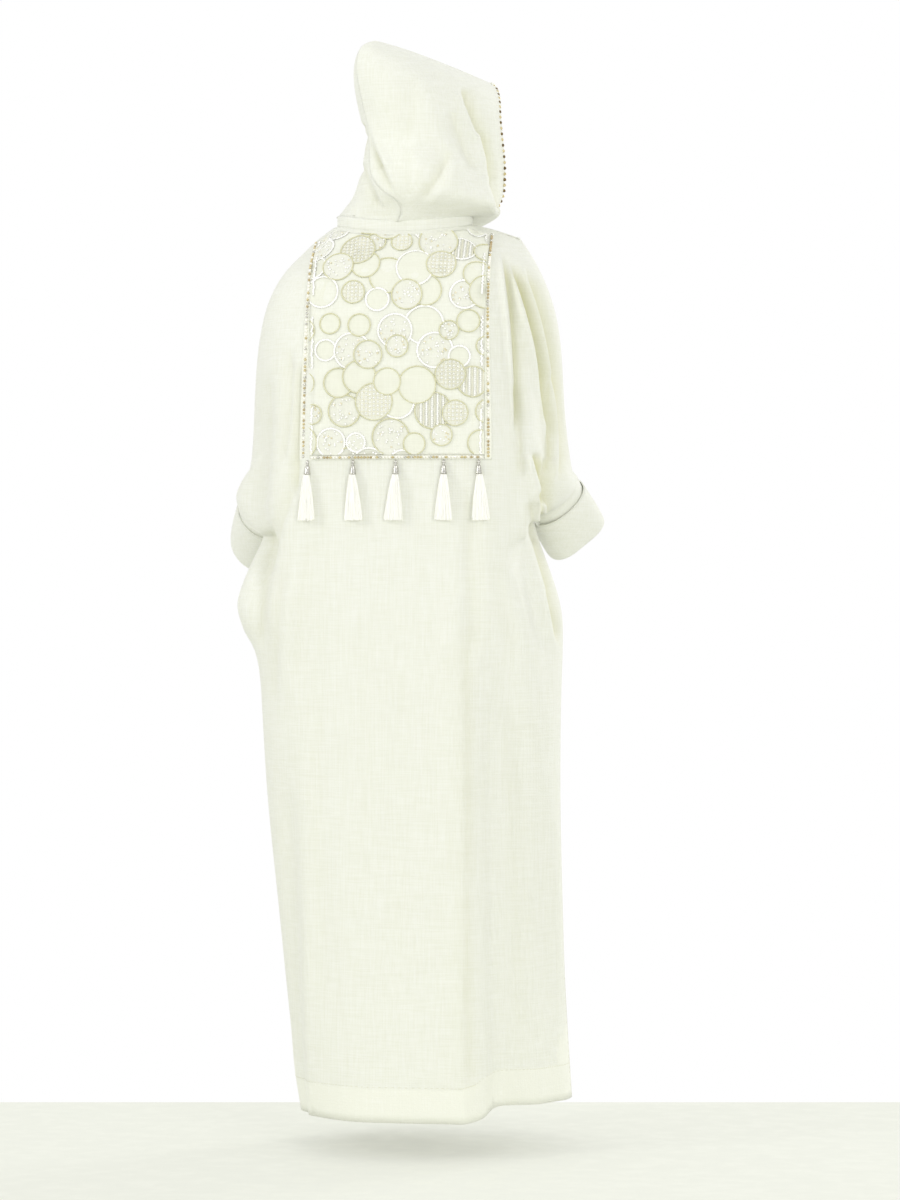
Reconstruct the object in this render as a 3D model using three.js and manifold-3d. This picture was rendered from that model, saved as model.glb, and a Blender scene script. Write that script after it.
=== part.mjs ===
// A hooded maxi kaftan, worn: back and front cut in one with wide wing sleeves, turned-back cuffs, a
// two-piece hood on a neck band, and a decorated yoke on the back with beaded tape and five tassels.
// Millimetres, +Z up, the wearer faces -Y, so +X is the wearer's left. The origin is the point midway
// between the shoulders at the height of the back neckline, where the wearer carries the garment.
import * as THREE from "three";
import { mergeVertices } from "three/addons/utils/BufferGeometryUtils.js";
import Module from "manifold-3d";

const wasm = await Module();
wasm.setup();

// ---------------------------------------------------------------- driving dimensions
const CLOTH = 2.0; // wall of the cloth, with its crinkle
const GAP = 0.3; // between two pieces that are sewn together
const LENGTH = 1474; // back neckline to hem
const HEM_TURN = 56; // depth of the hem, which is two layers of cloth
const HEM_STEP = 4; // height over which the cloth changes from one layer to two
// Where each side seam opens into its slit, how far the edges stand apart at the hem, and the shares
// of that by which the front goes in and the back goes out.
const SLIT = { top: 1265, left: 16, right: 44, frontIn: 0.55, backOut: 0.35 };
// The hem hangs higher on the right, where the leg steps out: by how much, the distance down at which
// that starts, and the share of the right half over which it steps up.
const HEM_LIFT = { high: 24, from: 1000, share: 0.42, over: 0.12 };

// The yoke on the back, which is also the part of both panels whose grain hangs straight down.
const YOKE = { left: 140, right: 152, top: 9, depth: 378, thick: 2.0 };
const YOKE_SHARE = 0.46; // of half a panel's columns
const NECK_COLUMNS = 4; // from the centre to the neck's side, and one more column to the yoke's edge
const NECK_OF_YOKE = 0.8; // width of the neckline as a share of the yoke's
const NECK_SHARE = NECK_OF_YOKE * YOKE_SHARE;
const SIDE_COLUMNS = { back: 9, front: 7 }; // from the yoke's edge to the side seam
const NECK = {
  left: YOKE.left * NECK_OF_YOKE,
  right: YOKE.right * NECK_OF_YOKE,
  back: 62, // behind the shoulder line
  front: 84, // before it
  zBack: 0,
  zSide: 15,
  zFront: -48,
};
const SHOULDER_DROP = { left: 46, right: 24 }; // from the neck's side to the shoulder point
const SHOULDER_FADE = 150; // how far down the slope of the shoulders still bends the rows
const SHOULDER_ROUND = 60; // how far down the shoulders turn from level to upright

const NECK_BAND = { high: 15, slit: 2.5 }; // slit is the half angle in degrees at the centre front
const NAPE_TAB = { wide: 12, thick: 1.2 };
const TAPE = { wide: 7, thick: 2.4 }; // the tape that carries the beads

// A sleeve ends in a loop, in which the turned-back cuff starts. Axis points from elbow to hand.
const CUFF_TOP = 330; // the rows between these two end at the loop and not at a side seam
const CUFF_BOTTOM = 540;
const CUFF_ROWS = 9;
const CUFF = {
  across: 52, // half of the loop's height
  deep: 38, // half of its depth
  start: 3, // from the sleeve's edge to the cuff's own
  long: 102,
  flare: 1.1,
  turn: 83, // how far it is turned back
  lift: 4, // from the inner layer to the turned one
  swell: 2, // by how much the turned layer stands off more in its middle
  steps: 20,
  waves: [3.5, 2], // heights of its three and its four uneven waves
};
const SLEEVES = {
  left: { centre: [250, -104, -458], axis: [0.28, -0.7, -0.66], up: [0.22, 0, 1] },
  right: { centre: [-246, -100, -436], axis: [-0.34, -0.66, -0.67], up: [-0.42, 0, 1] },
};
const SLEEVE_FADE = { up: 250, down: 90 }; // how far from the loop it still pulls the side seam

const HOOD = {
  columns: 8, // of each half
  tape: 0.024, // share of a half that its tape takes
  settle: 1.5, // rows over which the hood takes up the neckline's shape
  held: 0.6, // how much of it the rows above the lowest take up
};
const TASSEL = {
  at: [140, 64, -7, -86, -143], // places along the bottom of the yoke
  skirt: 76,
  head: { radius: 5.2, high: 6 },
  rings: [
    { strands: 11, root: 3.4, end: 12.5 },
    { strands: 5, root: 1.4, end: 6 },
  ],
  strand: 0.8, // radius of a strand at its root
  taper: 0.15, // how much thinner it gets from each of its points to the next
  bend: { down: 0.42, out: 0.62 }, // shares of its length and of its spread at its middle point
  sway: 1.5, // how far an end swings sideways
  uneven: 3, // by how much the ends' lengths differ either way
  flat: 0.5, // how much less the skirt spreads outwards than sideways
  below: 0.9, // from the cap to the head
  behind: 2, // from the cap's axis to the tassel's
};
const CAP = { bead: 2.8, beadLong: 8, bell: 5.6, bellLong: 16, out: 9 }; // out: from cloth to bell's axis
const FINEST_EDGE = 0.05; // shorter edges are merged after a union

// ---------------------------------------------------------------- small tools
const smooth = (t) => {
  const c = Math.min(1, Math.max(0, t));
  return c * c * (3 - 2 * c);
};
const mix = (a, b, t) => a + (b - a) * t;
const bell = (t) => Math.exp(-t * t);
const vec = (list) => new THREE.Vector3(...list);
const range = (count) => Array.from({ length: count }, (_, i) => i);

// A table of rows with named columns. at(column, key) reads a column between its rows, along a curve
// that never swings past them; the first column is the key.
function table(columns, rows) {
  const keys = rows.map((row) => row[0]);
  const slopes = {};
  columns.forEach((name, c) => {
    const values = rows.map((row) => row[c]);
    const step = range(rows.length - 1).map((i) => (values[i + 1] - values[i]) / (keys[i + 1] - keys[i]));
    const slope = values.map((_, i) => {
      if (i === 0) return step[0];
      if (i === rows.length - 1) return step[i - 1];
      if (step[i - 1] * step[i] <= 0) return 0;
      return (2 * step[i - 1] * step[i]) / (step[i - 1] + step[i]);
    });
    slopes[name] = { values, slope };
  });
  const at = (name, key) => {
    const k = Math.min(Math.max(key, keys[0]), keys[keys.length - 1]);
    let i = 0;
    while (i < keys.length - 2 && k > keys[i + 1]) i++;
    const wide = keys[i + 1] - keys[i];
    const t = (k - keys[i]) / wide;
    const { values, slope } = slopes[name];
    return (
      values[i] * (2 * t ** 3 - 3 * t ** 2 + 1) +
      slope[i] * wide * (t ** 3 - 2 * t ** 2 + t) +
      values[i + 1] * (3 * t ** 2 - 2 * t ** 3) +
      slope[i + 1] * wide * (t ** 3 - t ** 2)
    );
  };
  return { at };
}

// ---------------------------------------------------------------- the body of the kaftan
// Sections of the garment, by the distance down from the shoulder line: how far it reaches to the
// wearer's left and right, to the back and to the front, and how square its corners are.
const BODY = table(
  ["down", "left", "right", "back", "front", "square"],
  [
    [0, 168, 200, 62, 84, 2.3],
    [45, 196, 226, 96, 102, 2.4],
    [90, 218, 246, 116, 118, 2.5],
    [150, 248, 270, 128, 130, 2.6],
    [245, 280, 290, 136, 140, 2.7],
    [345, 300, 310, 141, 146, 2.8],
    [414, 307, 311, 143, 148, 2.8],
    [480, 300, 292, 145, 148, 2.8],
    [524, 294, 276, 146, 148, 2.8],
    [575, 290, 272, 148, 148, 2.7],
    [622, 280, 270, 150, 150, 2.6],
    [672, 262, 272, 152, 152, 2.5],
    [718, 240, 271, 154, 154, 2.4],
    [800, 236, 268, 158, 156, 2.3],
    [950, 227, 267, 164, 158, 2.25],
    [1100, 211, 270, 171, 161, 2.2],
    [1250, 196, 274, 179, 165, 2.2],
    [1400, 180, 283, 187, 169, 2.2],
    [1474, 168, 288, 190, 172, 2.2],
  ],
);

// Folds. Each runs straight between two places on a panel, given by the distance down and by the
// share of the way from the centre (0) to the side seam (1 on the left, -1 on the right). Deep is
// the most that it goes in, or stands out if negative. Wide is its half width, as such a share.
const FOLD_COLUMNS = ["face", "from", "to", "shareFrom", "shareTo", "deep", "wide"];
const FOLDS = [
  ["back", 230, 735, 0.66, 0.78, 26, 0.085], // between the left wing and the body
  ["back", 300, 700, 0.86, 0.9, -9, 0.1],
  ["back", 60, 560, -0.5, -0.6, 17, 0.055], // the deep fold beside the yoke
  ["back", 110, 560, -0.58, -0.7, -10, 0.06],
  ["back", 120, 520, -0.62, -0.8, 17, 0.06],
  ["back", 260, 520, -0.74, -0.88, 13, 0.05],
  ["back", 520, 735, -0.66, -0.84, 24, 0.09], // between the right wing and the body
  ["back", 560, 1600, -0.36, -0.42, -20, 0.1], // the long fold to the hem, and the step beside it
  ["back", 560, 1600, -0.5, -0.56, 30, 0.1],
  ["back", 620, 1600, 0.3, 0.34, 9, 0.12],
  ["back", 700, 1600, 0.02, 0.04, 7, 0.1],
  ["back", 780, 1600, 0.62, 0.66, 10, 0.1],
  ["back", 900, 1600, -0.78, -0.8, 12, 0.08],
  ["back", 900, 1300, -0.9, -0.9, -6, 0.06],
  ["front", 220, 820, 0.72, 0.76, 92, 0.15], // behind each forearm
  ["front", 220, 820, -0.72, -0.76, 98, 0.15],
  ["front", 140, 620, 0.36, 0.5, 12, 0.07],
  ["front", 120, 640, -0.34, -0.5, 14, 0.07],
  ["front", 520, 1600, 0.34, 0.4, 18, 0.1],
  ["front", 640, 1600, 0.12, 0.14, -12, 0.12],
  ["front", 560, 1600, -0.16, -0.2, 18, 0.1],
  ["front", 700, 1600, -0.46, -0.5, 14, 0.09],
  ["front", 800, 1600, 0.7, 0.72, 12, 0.09],
].map((row) => Object.fromEntries(FOLD_COLUMNS.map((name, i) => [name, row[i]])));

function foldDepth(face, share, down) {
  let depth = 0;
  for (const fold of FOLDS) {
    if (fold.face !== face || down < fold.from || down > fold.to) continue;
    const along = (down - fold.from) / (fold.to - fold.from);
    const place = mix(fold.shareFrom, fold.shareTo, along);
    const fadeIn = smooth(along / 0.35);
    const fadeOut = fold.to > LENGTH ? 1 : smooth((1 - along) / 0.25);
    depth += fold.deep * fadeIn * fadeOut * bell((share - place) / fold.wide);
  }
  return depth;
}

// The loop at the end of a sleeve: its axes, and its point at an angle from the top (0) to the
// bottom (180 degrees) round the back or the front of the arm.
function loopOf(sleeve) {
  const axis = vec(sleeve.axis).normalize();
  const up = vec(sleeve.up);
  up.addScaledVector(axis, -up.dot(axis)).normalize();
  const rear = new THREE.Vector3().crossVectors(axis, up);
  if (rear.y < 0) rear.negate();
  const point = (angle, toFront, along = 0, grow = 0, scale = 1) =>
    vec(sleeve.centre)
      .addScaledVector(axis, along)
      .addScaledVector(up, Math.cos(angle) * (CUFF.across * scale + grow))
      .addScaledVector(rear, Math.sin(angle) * (toFront ? -1 : 1) * (CUFF.deep * scale + grow));
  return { axis, point };
}
const LOOPS = { left: loopOf(SLEEVES.left), right: loopOf(SLEEVES.right) };

// A point of the side seam, before any sleeve pulls it.
const seamPoint = (side, down) =>
  new THREE.Vector3(
    side > 0 ? BODY.at("left", down) : -BODY.at("right", down),
    0,
    -down + topLine("back", side * shoulderReach(side)) * shoulderFade(down),
  );
const shoulderFade = (down) => Math.max(0, 1 - down / SHOULDER_FADE) ** 2;
const shoulderReach = (side) => BODY.at(side > 0 ? "left" : "right", 0);

// How far the loop of the sleeve pulls the edge of a panel, at a distance down.
function sleevePull(face, side, down) {
  const loop = side > 0 ? LOOPS.left : LOOPS.right;
  const held = Math.min(CUFF_BOTTOM, Math.max(CUFF_TOP, down));
  const angle = Math.acos(1 - (2 * (held - CUFF_TOP)) / (CUFF_BOTTOM - CUFF_TOP));
  const pull = loop.point(angle, face === "front").sub(seamPoint(side, held));
  const above = (CUFF_TOP - down) / SLEEVE_FADE.up;
  const below = (down - CUFF_BOTTOM) / SLEEVE_FADE.down;
  return pull.multiplyScalar(1 - smooth(Math.max(above, below)));
}

// How far the edges of the side slit stand apart.
function slitPull(face, side, down) {
  const open = smooth((down - SLIT.top) / (LENGTH - SLIT.top));
  const spread = side > 0 ? SLIT.left : SLIT.right;
  return face === "front"
    ? new THREE.Vector3(-side * spread * SLIT.frontIn, -spread, 0).multiplyScalar(open)
    : new THREE.Vector3(0, spread * SLIT.backOut, 0).multiplyScalar(open);
}

// The height of the shoulder line and neckline over the origin's level.
function topLine(face, x) {
  const neck = x > 0 ? NECK.left : NECK.right;
  const t = Math.abs(x) / neck;
  if (t <= 1) return mix(face === "front" ? NECK.zFront : NECK.zBack, NECK.zSide, t * t);
  const drop = x > 0 ? SHOULDER_DROP.left : SHOULDER_DROP.right;
  const out = (Math.abs(x) - neck) / (shoulderReach(Math.sign(x)) - neck);
  return NECK.zSide - drop * Math.min(1, out) ** 1.2;
}

// A point in the middle of the cloth: share runs from -1 at the right seam to 1 at the left seam.
function bodyPoint(face, share, down) {
  const side = share < 0 ? -1 : 1;
  const reach = side > 0 ? BODY.at("left", down) : BODY.at("right", down);
  const straight = side > 0 ? YOKE.left : YOKE.right;
  const square = BODY.at("square", down);
  const edgeAngle = Math.asin((straight / reach) ** (square / 2));
  const out = (Math.abs(share) - YOKE_SHARE) / (1 - YOKE_SHARE);
  let across = (Math.abs(share) / YOKE_SHARE) * (straight / reach);
  if (out > 0) across = Math.sin(mix(edgeAngle, Math.PI / 2, out)) ** (2 / square);
  across = Math.min(1, across);
  const x = side * across * reach;

  const deep = BODY.at(face, down) * (1 - across ** square) ** (1 / square);
  const neck = side > 0 ? NECK.left : NECK.right;
  const neckMost = face === "front" ? NECK.front : NECK.back;
  const neckDeep = neckMost * Math.sqrt(Math.max(0, 1 - (x / neck) ** 2));
  const turned = Math.sqrt(Math.min(1, down / SHOULDER_ROUND));
  const toBack = face === "front" ? -1 : 1;
  const point = new THREE.Vector3(
    x,
    toBack * mix(neckDeep, deep, turned),
    -down + topLine(face, x) * shoulderFade(down),
  );
  // Folds go in square to the section.
  const inwardY = -toBack * (1 - across ** square) ** ((square - 1) / square);
  const inward = new THREE.Vector3(-side * across ** (square - 1), inwardY, 0);
  point.addScaledVector(inward.normalize(), foldDepth(face, share, down));
  if (out > 0) {
    point.addScaledVector(sleevePull(face, side, down), smooth(out));
    point.addScaledVector(slitPull(face, side, down), smooth(out));
  }
  const steppedUp = smooth((-share - HEM_LIFT.share) / HEM_LIFT.over);
  point.z += HEM_LIFT.high * smooth((down - HEM_LIFT.from) / (LENGTH - HEM_LIFT.from)) * steppedUp;
  return point;
}

// The distances down at which a panel has its rows: closer at the shoulder, round the cuff and at the
// hem, with one at the yoke's bottom edge and one at the edge of the tape below it.
const SKIRT = { top: 710, rows: 9 };
const ROWS = [
  ...[0, YOKE.top, 22, 40, 64, 92, 122],
  ...[157, 192, 227, 262, 297],
  ...range(CUFF_ROWS).map((i) =>
    mix(CUFF_TOP, CUFF_BOTTOM, (1 - Math.cos((Math.PI * i) / (CUFF_ROWS - 1))) / 2),
  ),
  ...[YOKE.depth, YOKE.depth + TAPE.wide],
  ...[565, 595, 630, 668, SKIRT.top],
  ...range(SKIRT.rows).map((i) => mix(SKIRT.top, LENGTH - HEM_TURN - HEM_STEP, (i + 1) / SKIRT.rows)),
  ...[LENGTH - HEM_TURN, LENGTH],
].sort((a, b) => a - b);

// The columns of a panel, as shares of the way from the centre to the side seams. The back has one
// more on each side of the yoke, for the tape along it.
function sharesOf(face) {
  const sides = SIDE_COLUMNS[face];
  const neck = range(NECK_COLUMNS).map(
    (i) => NECK_SHARE * Math.sin(((i + 1) / NECK_COLUMNS) * (Math.PI / 2)),
  );
  const yokeHalf = [...neck, YOKE_SHARE];
  const middle = [...yokeHalf.map((share) => -share).reverse(), 0, ...yokeHalf];
  const out = range(sides).map((i) => mix(YOKE_SHARE, 1, (i + 1) / sides));
  const tapeAt = (halfYoke) => (face === "back" ? [YOKE_SHARE * (1 + TAPE.wide / halfYoke)] : []);
  const left = [...tapeAt(YOKE.left), ...out];
  const right = [...tapeAt(YOKE.right), ...out];
  return [...right.map((share) => -share).reverse(), ...middle, ...left];
}

// ---------------------------------------------------------------- sheets of cloth
// A sheet is a grid of points in the middle of the cloth, rows of columns, with its outward normals.
function sheetOf(rows, columns, pointAt) {
  return { points: rows.map((r, j) => columns.map((c, i) => pointAt(c, r, i, j))) };
}

// Normals from the neighbours of each point. Flip turns them round.
function addNormals(sheet, flip = false) {
  const { points } = sheet;
  const kept = (value, count) => Math.min(Math.max(value, 0), count - 1);
  const pointAt = (j, i) => points[kept(j, points.length)][kept(i, points[0].length)];
  sheet.normals = points.map((row, j) =>
    row.map((_, i) => {
      const right = pointAt(j, i + 1).clone().sub(pointAt(j, i - 1));
      const below = pointAt(j + 1, i).clone().sub(pointAt(j - 1, i));
      const normal = right.cross(below).normalize();
      return flip ? normal.negate() : normal;
    }),
  );
  return sheet;
}

// Two sheets that meet along a seam get the same normals there, so that their walls butt.
function matchNormals(a, b, places) {
  for (const [ja, ia, jb, ib] of places) {
    const shared = a.normals[ja][ia].clone().add(b.normals[jb][ib]).normalize();
    a.normals[ja][ia].copy(shared);
    b.normals[jb][ib].copy(shared);
  }
}

// Draws the edges of a sheet in by a distance, towards the next row or column.
function drawIn(sheet, { top = 0, start = 0, end = 0 }) {
  const { points } = sheet;
  const moved = (from, towards, distance) => {
    const way = towards.clone().sub(from);
    return from.clone().addScaledVector(way.normalize(), distance);
  };
  if (top) points[0] = points[0].map((p, i) => moved(p, points[1][i], top));
  for (const row of points) {
    const last = row.length - 1;
    if (start) row[0] = moved(row[0], row[1], start);
    if (end) row[last] = moved(row[last], row[last - 1], end);
  }
  return sheet;
}

// The closed wall between two offsets of a sheet along its normals. The offsets are numbers, or
// functions of the row.
function wall(sheet, outer, inner) {
  const { points, normals } = sheet;
  const rows = points.length;
  const columns = points[0].length;
  const position = [];
  for (const offset of [outer, inner])
    points.forEach((row, j) => {
      const along = typeof offset === "function" ? offset(j) : offset;
      row.forEach((p, i) => position.push(...p.clone().addScaledVector(normals[j][i], along).toArray()));
    });
  const id = (layer, j, i) => layer * rows * columns + j * columns + i;
  const index = [];
  const quad = (a, b, c, d) => index.push(a, b, c, a, c, d);
  const apart = (j, i, j2, i2) => points[j][i].distanceTo(points[j2][i2]);
  for (let j = 0; j < rows - 1; j++)
    for (let i = 0; i < columns - 1; i++) {
      // The shorter diagonal folds less; both layers take the same one.
      const falls = apart(j, i, j + 1, i + 1) < apart(j, i + 1, j + 1, i);
      const turn = falls ? [[0, 0], [1, 0], [1, 1], [0, 1]] : [[1, 0], [1, 1], [0, 1], [0, 0]];
      const [a, b, c, d] = turn.map(([dj, di]) => id(0, j + dj, i + di));
      const under = rows * columns;
      quad(a, d, c, b);
      quad(a + under, b + under, c + under, d + under);
    }
  for (let i = 0; i < columns - 1; i++) {
    quad(id(1, 0, i), id(1, 0, i + 1), id(0, 0, i + 1), id(0, 0, i));
    quad(id(1, rows - 1, i + 1), id(1, rows - 1, i), id(0, rows - 1, i), id(0, rows - 1, i + 1));
  }
  for (let j = 0; j < rows - 1; j++) {
    quad(id(1, j + 1, 0), id(1, j, 0), id(0, j, 0), id(0, j + 1, 0));
    quad(id(1, j, columns - 1), id(1, j + 1, columns - 1), id(0, j + 1, columns - 1), id(0, j, columns - 1));
  }
  const geometry = new THREE.BufferGeometry();
  geometry.setAttribute("position", new THREE.Float32BufferAttribute(position, 3));
  geometry.setIndex(index);
  return turnedOut(geometry);
}

// The geometry with its faces turned to point out of it.
function turnedOut(geometry) {
  const p = geometry.getAttribute("position");
  const { array } = geometry.index;
  const corner = (i) => new THREE.Vector3().fromBufferAttribute(p, array[i]);
  const corners = range(array.length / 3).map((i) => 3 * i);
  let volume = 0;
  for (const i of corners) volume += corner(i).dot(corner(i + 1).cross(corner(i + 2)));
  if (volume < 0) for (const i of corners) [array[i], array[i + 1]] = [array[i + 1], array[i]];
  return geometry;
}

// ---------------------------------------------------------------- materials
const material = (name, color, roughness, metalness = 0) =>
  new THREE.MeshStandardMaterial({ name, color, roughness, metalness });
const cloth = material("cloth", 0xf3f1e2, 0.92);
const yokeCloth = material("yoke", 0xeeecd8, 0.6);
const beads = material("beads", 0xcdbf95, 0.35, 0.3);
const silver = material("silver", 0xc9c8c2, 0.25, 1);
const silk = material("silk", 0xfbfaf2, 0.5);

const kaftan = new THREE.Group();
function addPiece(name, geometry, made, into = kaftan) {
  const mesh = new THREE.Mesh(geometry, made);
  mesh.name = name;
  into.add(mesh);
  return mesh;
}

// ---------------------------------------------------------------- back and front
const SHARES = { back: sharesOf("back"), front: sharesOf("front") };
const panelOf = (face) => sheetOf(ROWS, SHARES[face], (share, down) => bodyPoint(face, share, down));
const back = addNormals(panelOf("back"));
const front = addNormals(panelOf("front"), true);
const ends = { back: SHARES.back.length - 1, front: SHARES.front.length - 1 };
matchNormals(
  back,
  front,
  ROWS.flatMap((down, j) =>
    down <= CUFF_TOP || (down >= CUFF_BOTTOM && down <= SLIT.top)
      ? [
          [j, 0, j, 0],
          [j, ends.back, j, ends.front],
        ]
      : [],
  ),
);
// Along the shoulders both panels end in the upright plane between them, and the neckline is level.
for (const sheet of [back, front]) {
  const top = sheet.normals[0];
  sheet.points[0].forEach((p, i) => {
    const isShoulder = p.x > NECK.left - 1 || p.x < 1 - NECK.right;
    if (isShoulder) top[i].setY(0).normalize();
    else top[i].setZ(0).normalize();
  });
  top.at(0).copy(top.at(1));
  top.at(-1).copy(top.at(-2));
}
for (const sheet of [back, front]) drawIn(sheet, { top: GAP / 2, start: GAP / 2, end: GAP / 2 });

const hemRow = ROWS.indexOf(LENGTH - HEM_TURN);
const inside = (j) => (j >= hemRow ? -1.5 * CLOTH : -CLOTH / 2); // the hem is turned up inside
addPiece("back", wall(back, CLOTH / 2, inside), cloth);
addPiece("front", wall(front, CLOTH / 2, inside), cloth);

// ---------------------------------------------------------------- yoke and its beaded tapes
// A part of a sheet between two rows and two columns.
function partOf(sheet, [topRow, bottomRow], [first, last]) {
  const cutRow = (row) => row.slice(first, last + 1).map((p) => p.clone());
  const cut = (grid) => grid.slice(topRow, bottomRow + 1).map(cutRow);
  return { points: cut(sheet.points), normals: cut(sheet.normals) };
}
const yokeRows = [ROWS.indexOf(YOKE.top), ROWS.indexOf(YOKE.depth)];
const firstYoke = SIDE_COLUMNS.back + 1;
const yokeColumns = [firstYoke, firstYoke + 2 * (NECK_COLUMNS + 1)];
const over = CLOTH / 2 + GAP; // from the middle of the back's cloth to what lies on it
const yoke = partOf(back, yokeRows, yokeColumns);
addPiece("yoke", wall(yoke, over + YOKE.thick, over), yokeCloth);
const tapeRows = [yokeRows[0], yokeRows[1] + 1];
const tapes = {
  tape_right: partOf(back, tapeRows, [yokeColumns[0] - 1, yokeColumns[0]]),
  tape_left: partOf(back, tapeRows, [yokeColumns[1], yokeColumns[1] + 1]),
  tape_bottom: partOf(back, [yokeRows[1], yokeRows[1] + 1], yokeColumns),
};
drawIn(tapes.tape_right, { end: GAP });
drawIn(tapes.tape_left, { start: GAP });
drawIn(tapes.tape_bottom, { top: GAP, start: GAP, end: GAP });
for (const [name, tape] of Object.entries(tapes)) addPiece(name, wall(tape, over + TAPE.thick, over), beads);

// ---------------------------------------------------------------- cuffs
// Each cuff is one strip: it goes on from the sleeve to the fold, and turns back outside itself.
function cuffGeometry(loop, side) {
  const { start, long, lift, swell, waves } = CUFF;
  const half = CLOTH / 2;
  const middle = long / 2;
  const edge = long - CUFF.turn;
  const profile = [
    // distance along the sleeve and distance out of its surface
    [start, -half],
    [middle, -half],
    [long - 2 * CLOTH, -half],
    [long, lift / 2],
    [long - 2 * CLOTH, lift + half],
    [middle, lift + half + swell],
    [edge, lift + half + swell / 2],
    [edge, lift - half + swell / 2],
    [middle, lift - half + swell],
    [long - 3 * CLOTH, lift - half],
    [long - 2 * CLOTH, lift / 2],
    [long - 3 * CLOTH, half],
    [middle, half],
    [start, half],
  ];
  const position = [];
  for (let k = 0; k < CUFF.steps; k++) {
    const angle = (2 * Math.PI * k) / CUFF.steps;
    // Uneven waves, as a loose sleeve end has.
    const wave = waves[0] * Math.sin(3 * angle + side) + waves[1] * Math.sin(4 * angle + 2 * side);
    for (const [along, out] of profile) {
      const share = Math.max(0, along / CUFF.long);
      const scale = mix(1, CUFF.flare, share);
      const ring = loop.point(angle, false, along, out + wave * share, scale);
      position.push(...ring.toArray());
    }
  }
  const index = [];
  const n = profile.length;
  for (let k = 0; k < CUFF.steps; k++)
    for (let m = 0; m < n; m++) {
      const next = ((k + 1) % CUFF.steps) * n;
      const m2 = (m + 1) % n;
      index.push(k * n + m, next + m, next + m2, k * n + m, next + m2, k * n + m2);
    }
  const geometry = new THREE.BufferGeometry();
  geometry.setAttribute("position", new THREE.Float32BufferAttribute(position, 3));
  geometry.setIndex(index);
  return turnedOut(geometry);
}
addPiece("cuff_left", cuffGeometry(LOOPS.left, 1), cloth);
addPiece("cuff_right", cuffGeometry(LOOPS.right, -1), cloth);

// ---------------------------------------------------------------- neck band
// The neckline at an angle from the centre back (0), positive to the left, up to the centre front. It
// runs straight between the columns of the panels, as their upper edges do.
const neckStep = Math.PI / 2 / NECK_COLUMNS;
function neckline(angle) {
  const corner = (k) => {
    const turn = k * neckStep;
    const isFront = Math.abs(k) > NECK_COLUMNS;
    const x = Math.sin(turn) * (turn < 0 ? NECK.right : NECK.left);
    const y = Math.cos(turn) * (isFront ? NECK.front : NECK.back);
    return new THREE.Vector3(x, y, topLine(isFront ? "front" : "back", x));
  };
  const from = Math.floor(angle / neckStep + 1e-9);
  return corner(from).lerp(corner(from + 1), Math.max(0, angle / neckStep - from));
}
const bandPoint = (angle, up) => {
  const point = neckline(angle);
  const beside = Math.abs(Math.sin(angle)) ** 4; // the shoulder seam's cloth stands a little higher
  point.z += up + mix(1.5 * GAP, CLOTH, beside) * (up > 0 ? 0 : 1);
  return point;
};
const bandTurn = (Math.PI * (180 - NECK_BAND.slit)) / 180;
const bandAngles = range(4 * NECK_COLUMNS + 1).map((i) =>
  Math.min(bandTurn, Math.max(-bandTurn, (i - 2 * NECK_COLUMNS) * neckStep)),
);
const band = sheetOf([NECK_BAND.high, 0], bandAngles, bandPoint);
addNormals(band, true);
for (const row of band.normals) for (const normal of row) normal.setZ(0).normalize();
addPiece("neck_band", wall(band, CLOTH / 2, -CLOTH / 2), cloth);

// ---------------------------------------------------------------- hood
// Sections of the hood by the share of its height. The head is turned to the wearer's right by the
// angle in degrees. Back, front and half give the reach from the section's middle; edge is the angle
// from the back at which the face opening starts; lean is how much lower the section is at its front.
const HOOD_ROWS = table(
  ["row", "z", "turn", "x", "y", "back", "front", "half", "edge", "lean"],
  [
    [0, 18, 0, -6, -11, 66, 88, 112, 172, 0],
    [1, 47, 14, -30, -10, 90, 118, 143, 168, 26],
    [2, 62, 30, -36, -8, 112, 136, 138, 160, 26],
    [3, 86, 42, -36, -6, 118, 148, 122, 152, 16],
    [4, 118, 49, -32, -4, 106, 162, 102, 146, 8],
    [5, 150, 52, -30, -4, 99, 170, 88, 142, 6],
    [6, 182, 52, -29, -4, 102, 171, 86, 140, 10],
    [7, 212, 52, -27, -4, 108, 171, 85, 140, 18],
    [8, 242, 52, -25, -4, 114, 176, 80, 140, 32],
    [9, 268, 52, -24, -4, 118, 183, 70, 140, 46],
    [10, 290, 52, -23, -4, 116, 190, 55, 140, 58],
    [11, 306, 52, -22, -4, 109, 198, 37, 140, 66],
    [12, 316, 52, -22, -4, 98, 205, 18, 140, 70],
    [13, 321, 52, -22, -4, 80, 210, 0, 140, 72],
  ],
);
// Folds of the hood, between two places given by row and by the share of the way from the seam (0)
// to the face (1), positive on the right half.
const HOOD_FOLD_COLUMNS = ["rowFrom", "rowTo", "shareFrom", "shareTo", "deep", "wide"];
const HOOD_FOLDS = [
  [9.5, 1.2, 0.66, 0.86, 12, 0.09],
  [8.5, 2.2, 0.56, 0.66, -6, 0.08],
  [7.5, 1.6, 0.42, 0.56, 8, 0.08],
  [5.5, 0.4, 0.22, 0.32, 7, 0.08],
  [6.5, 0.8, -0.16, -0.3, 9, 0.09],
  [6.0, 0.6, -0.42, -0.5, 9, 0.1],
  [9.5, 1.2, -0.66, -0.84, 11, 0.1],
].map((row) => Object.fromEntries(HOOD_FOLD_COLUMNS.map((name, i) => [name, row[i]])));

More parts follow.
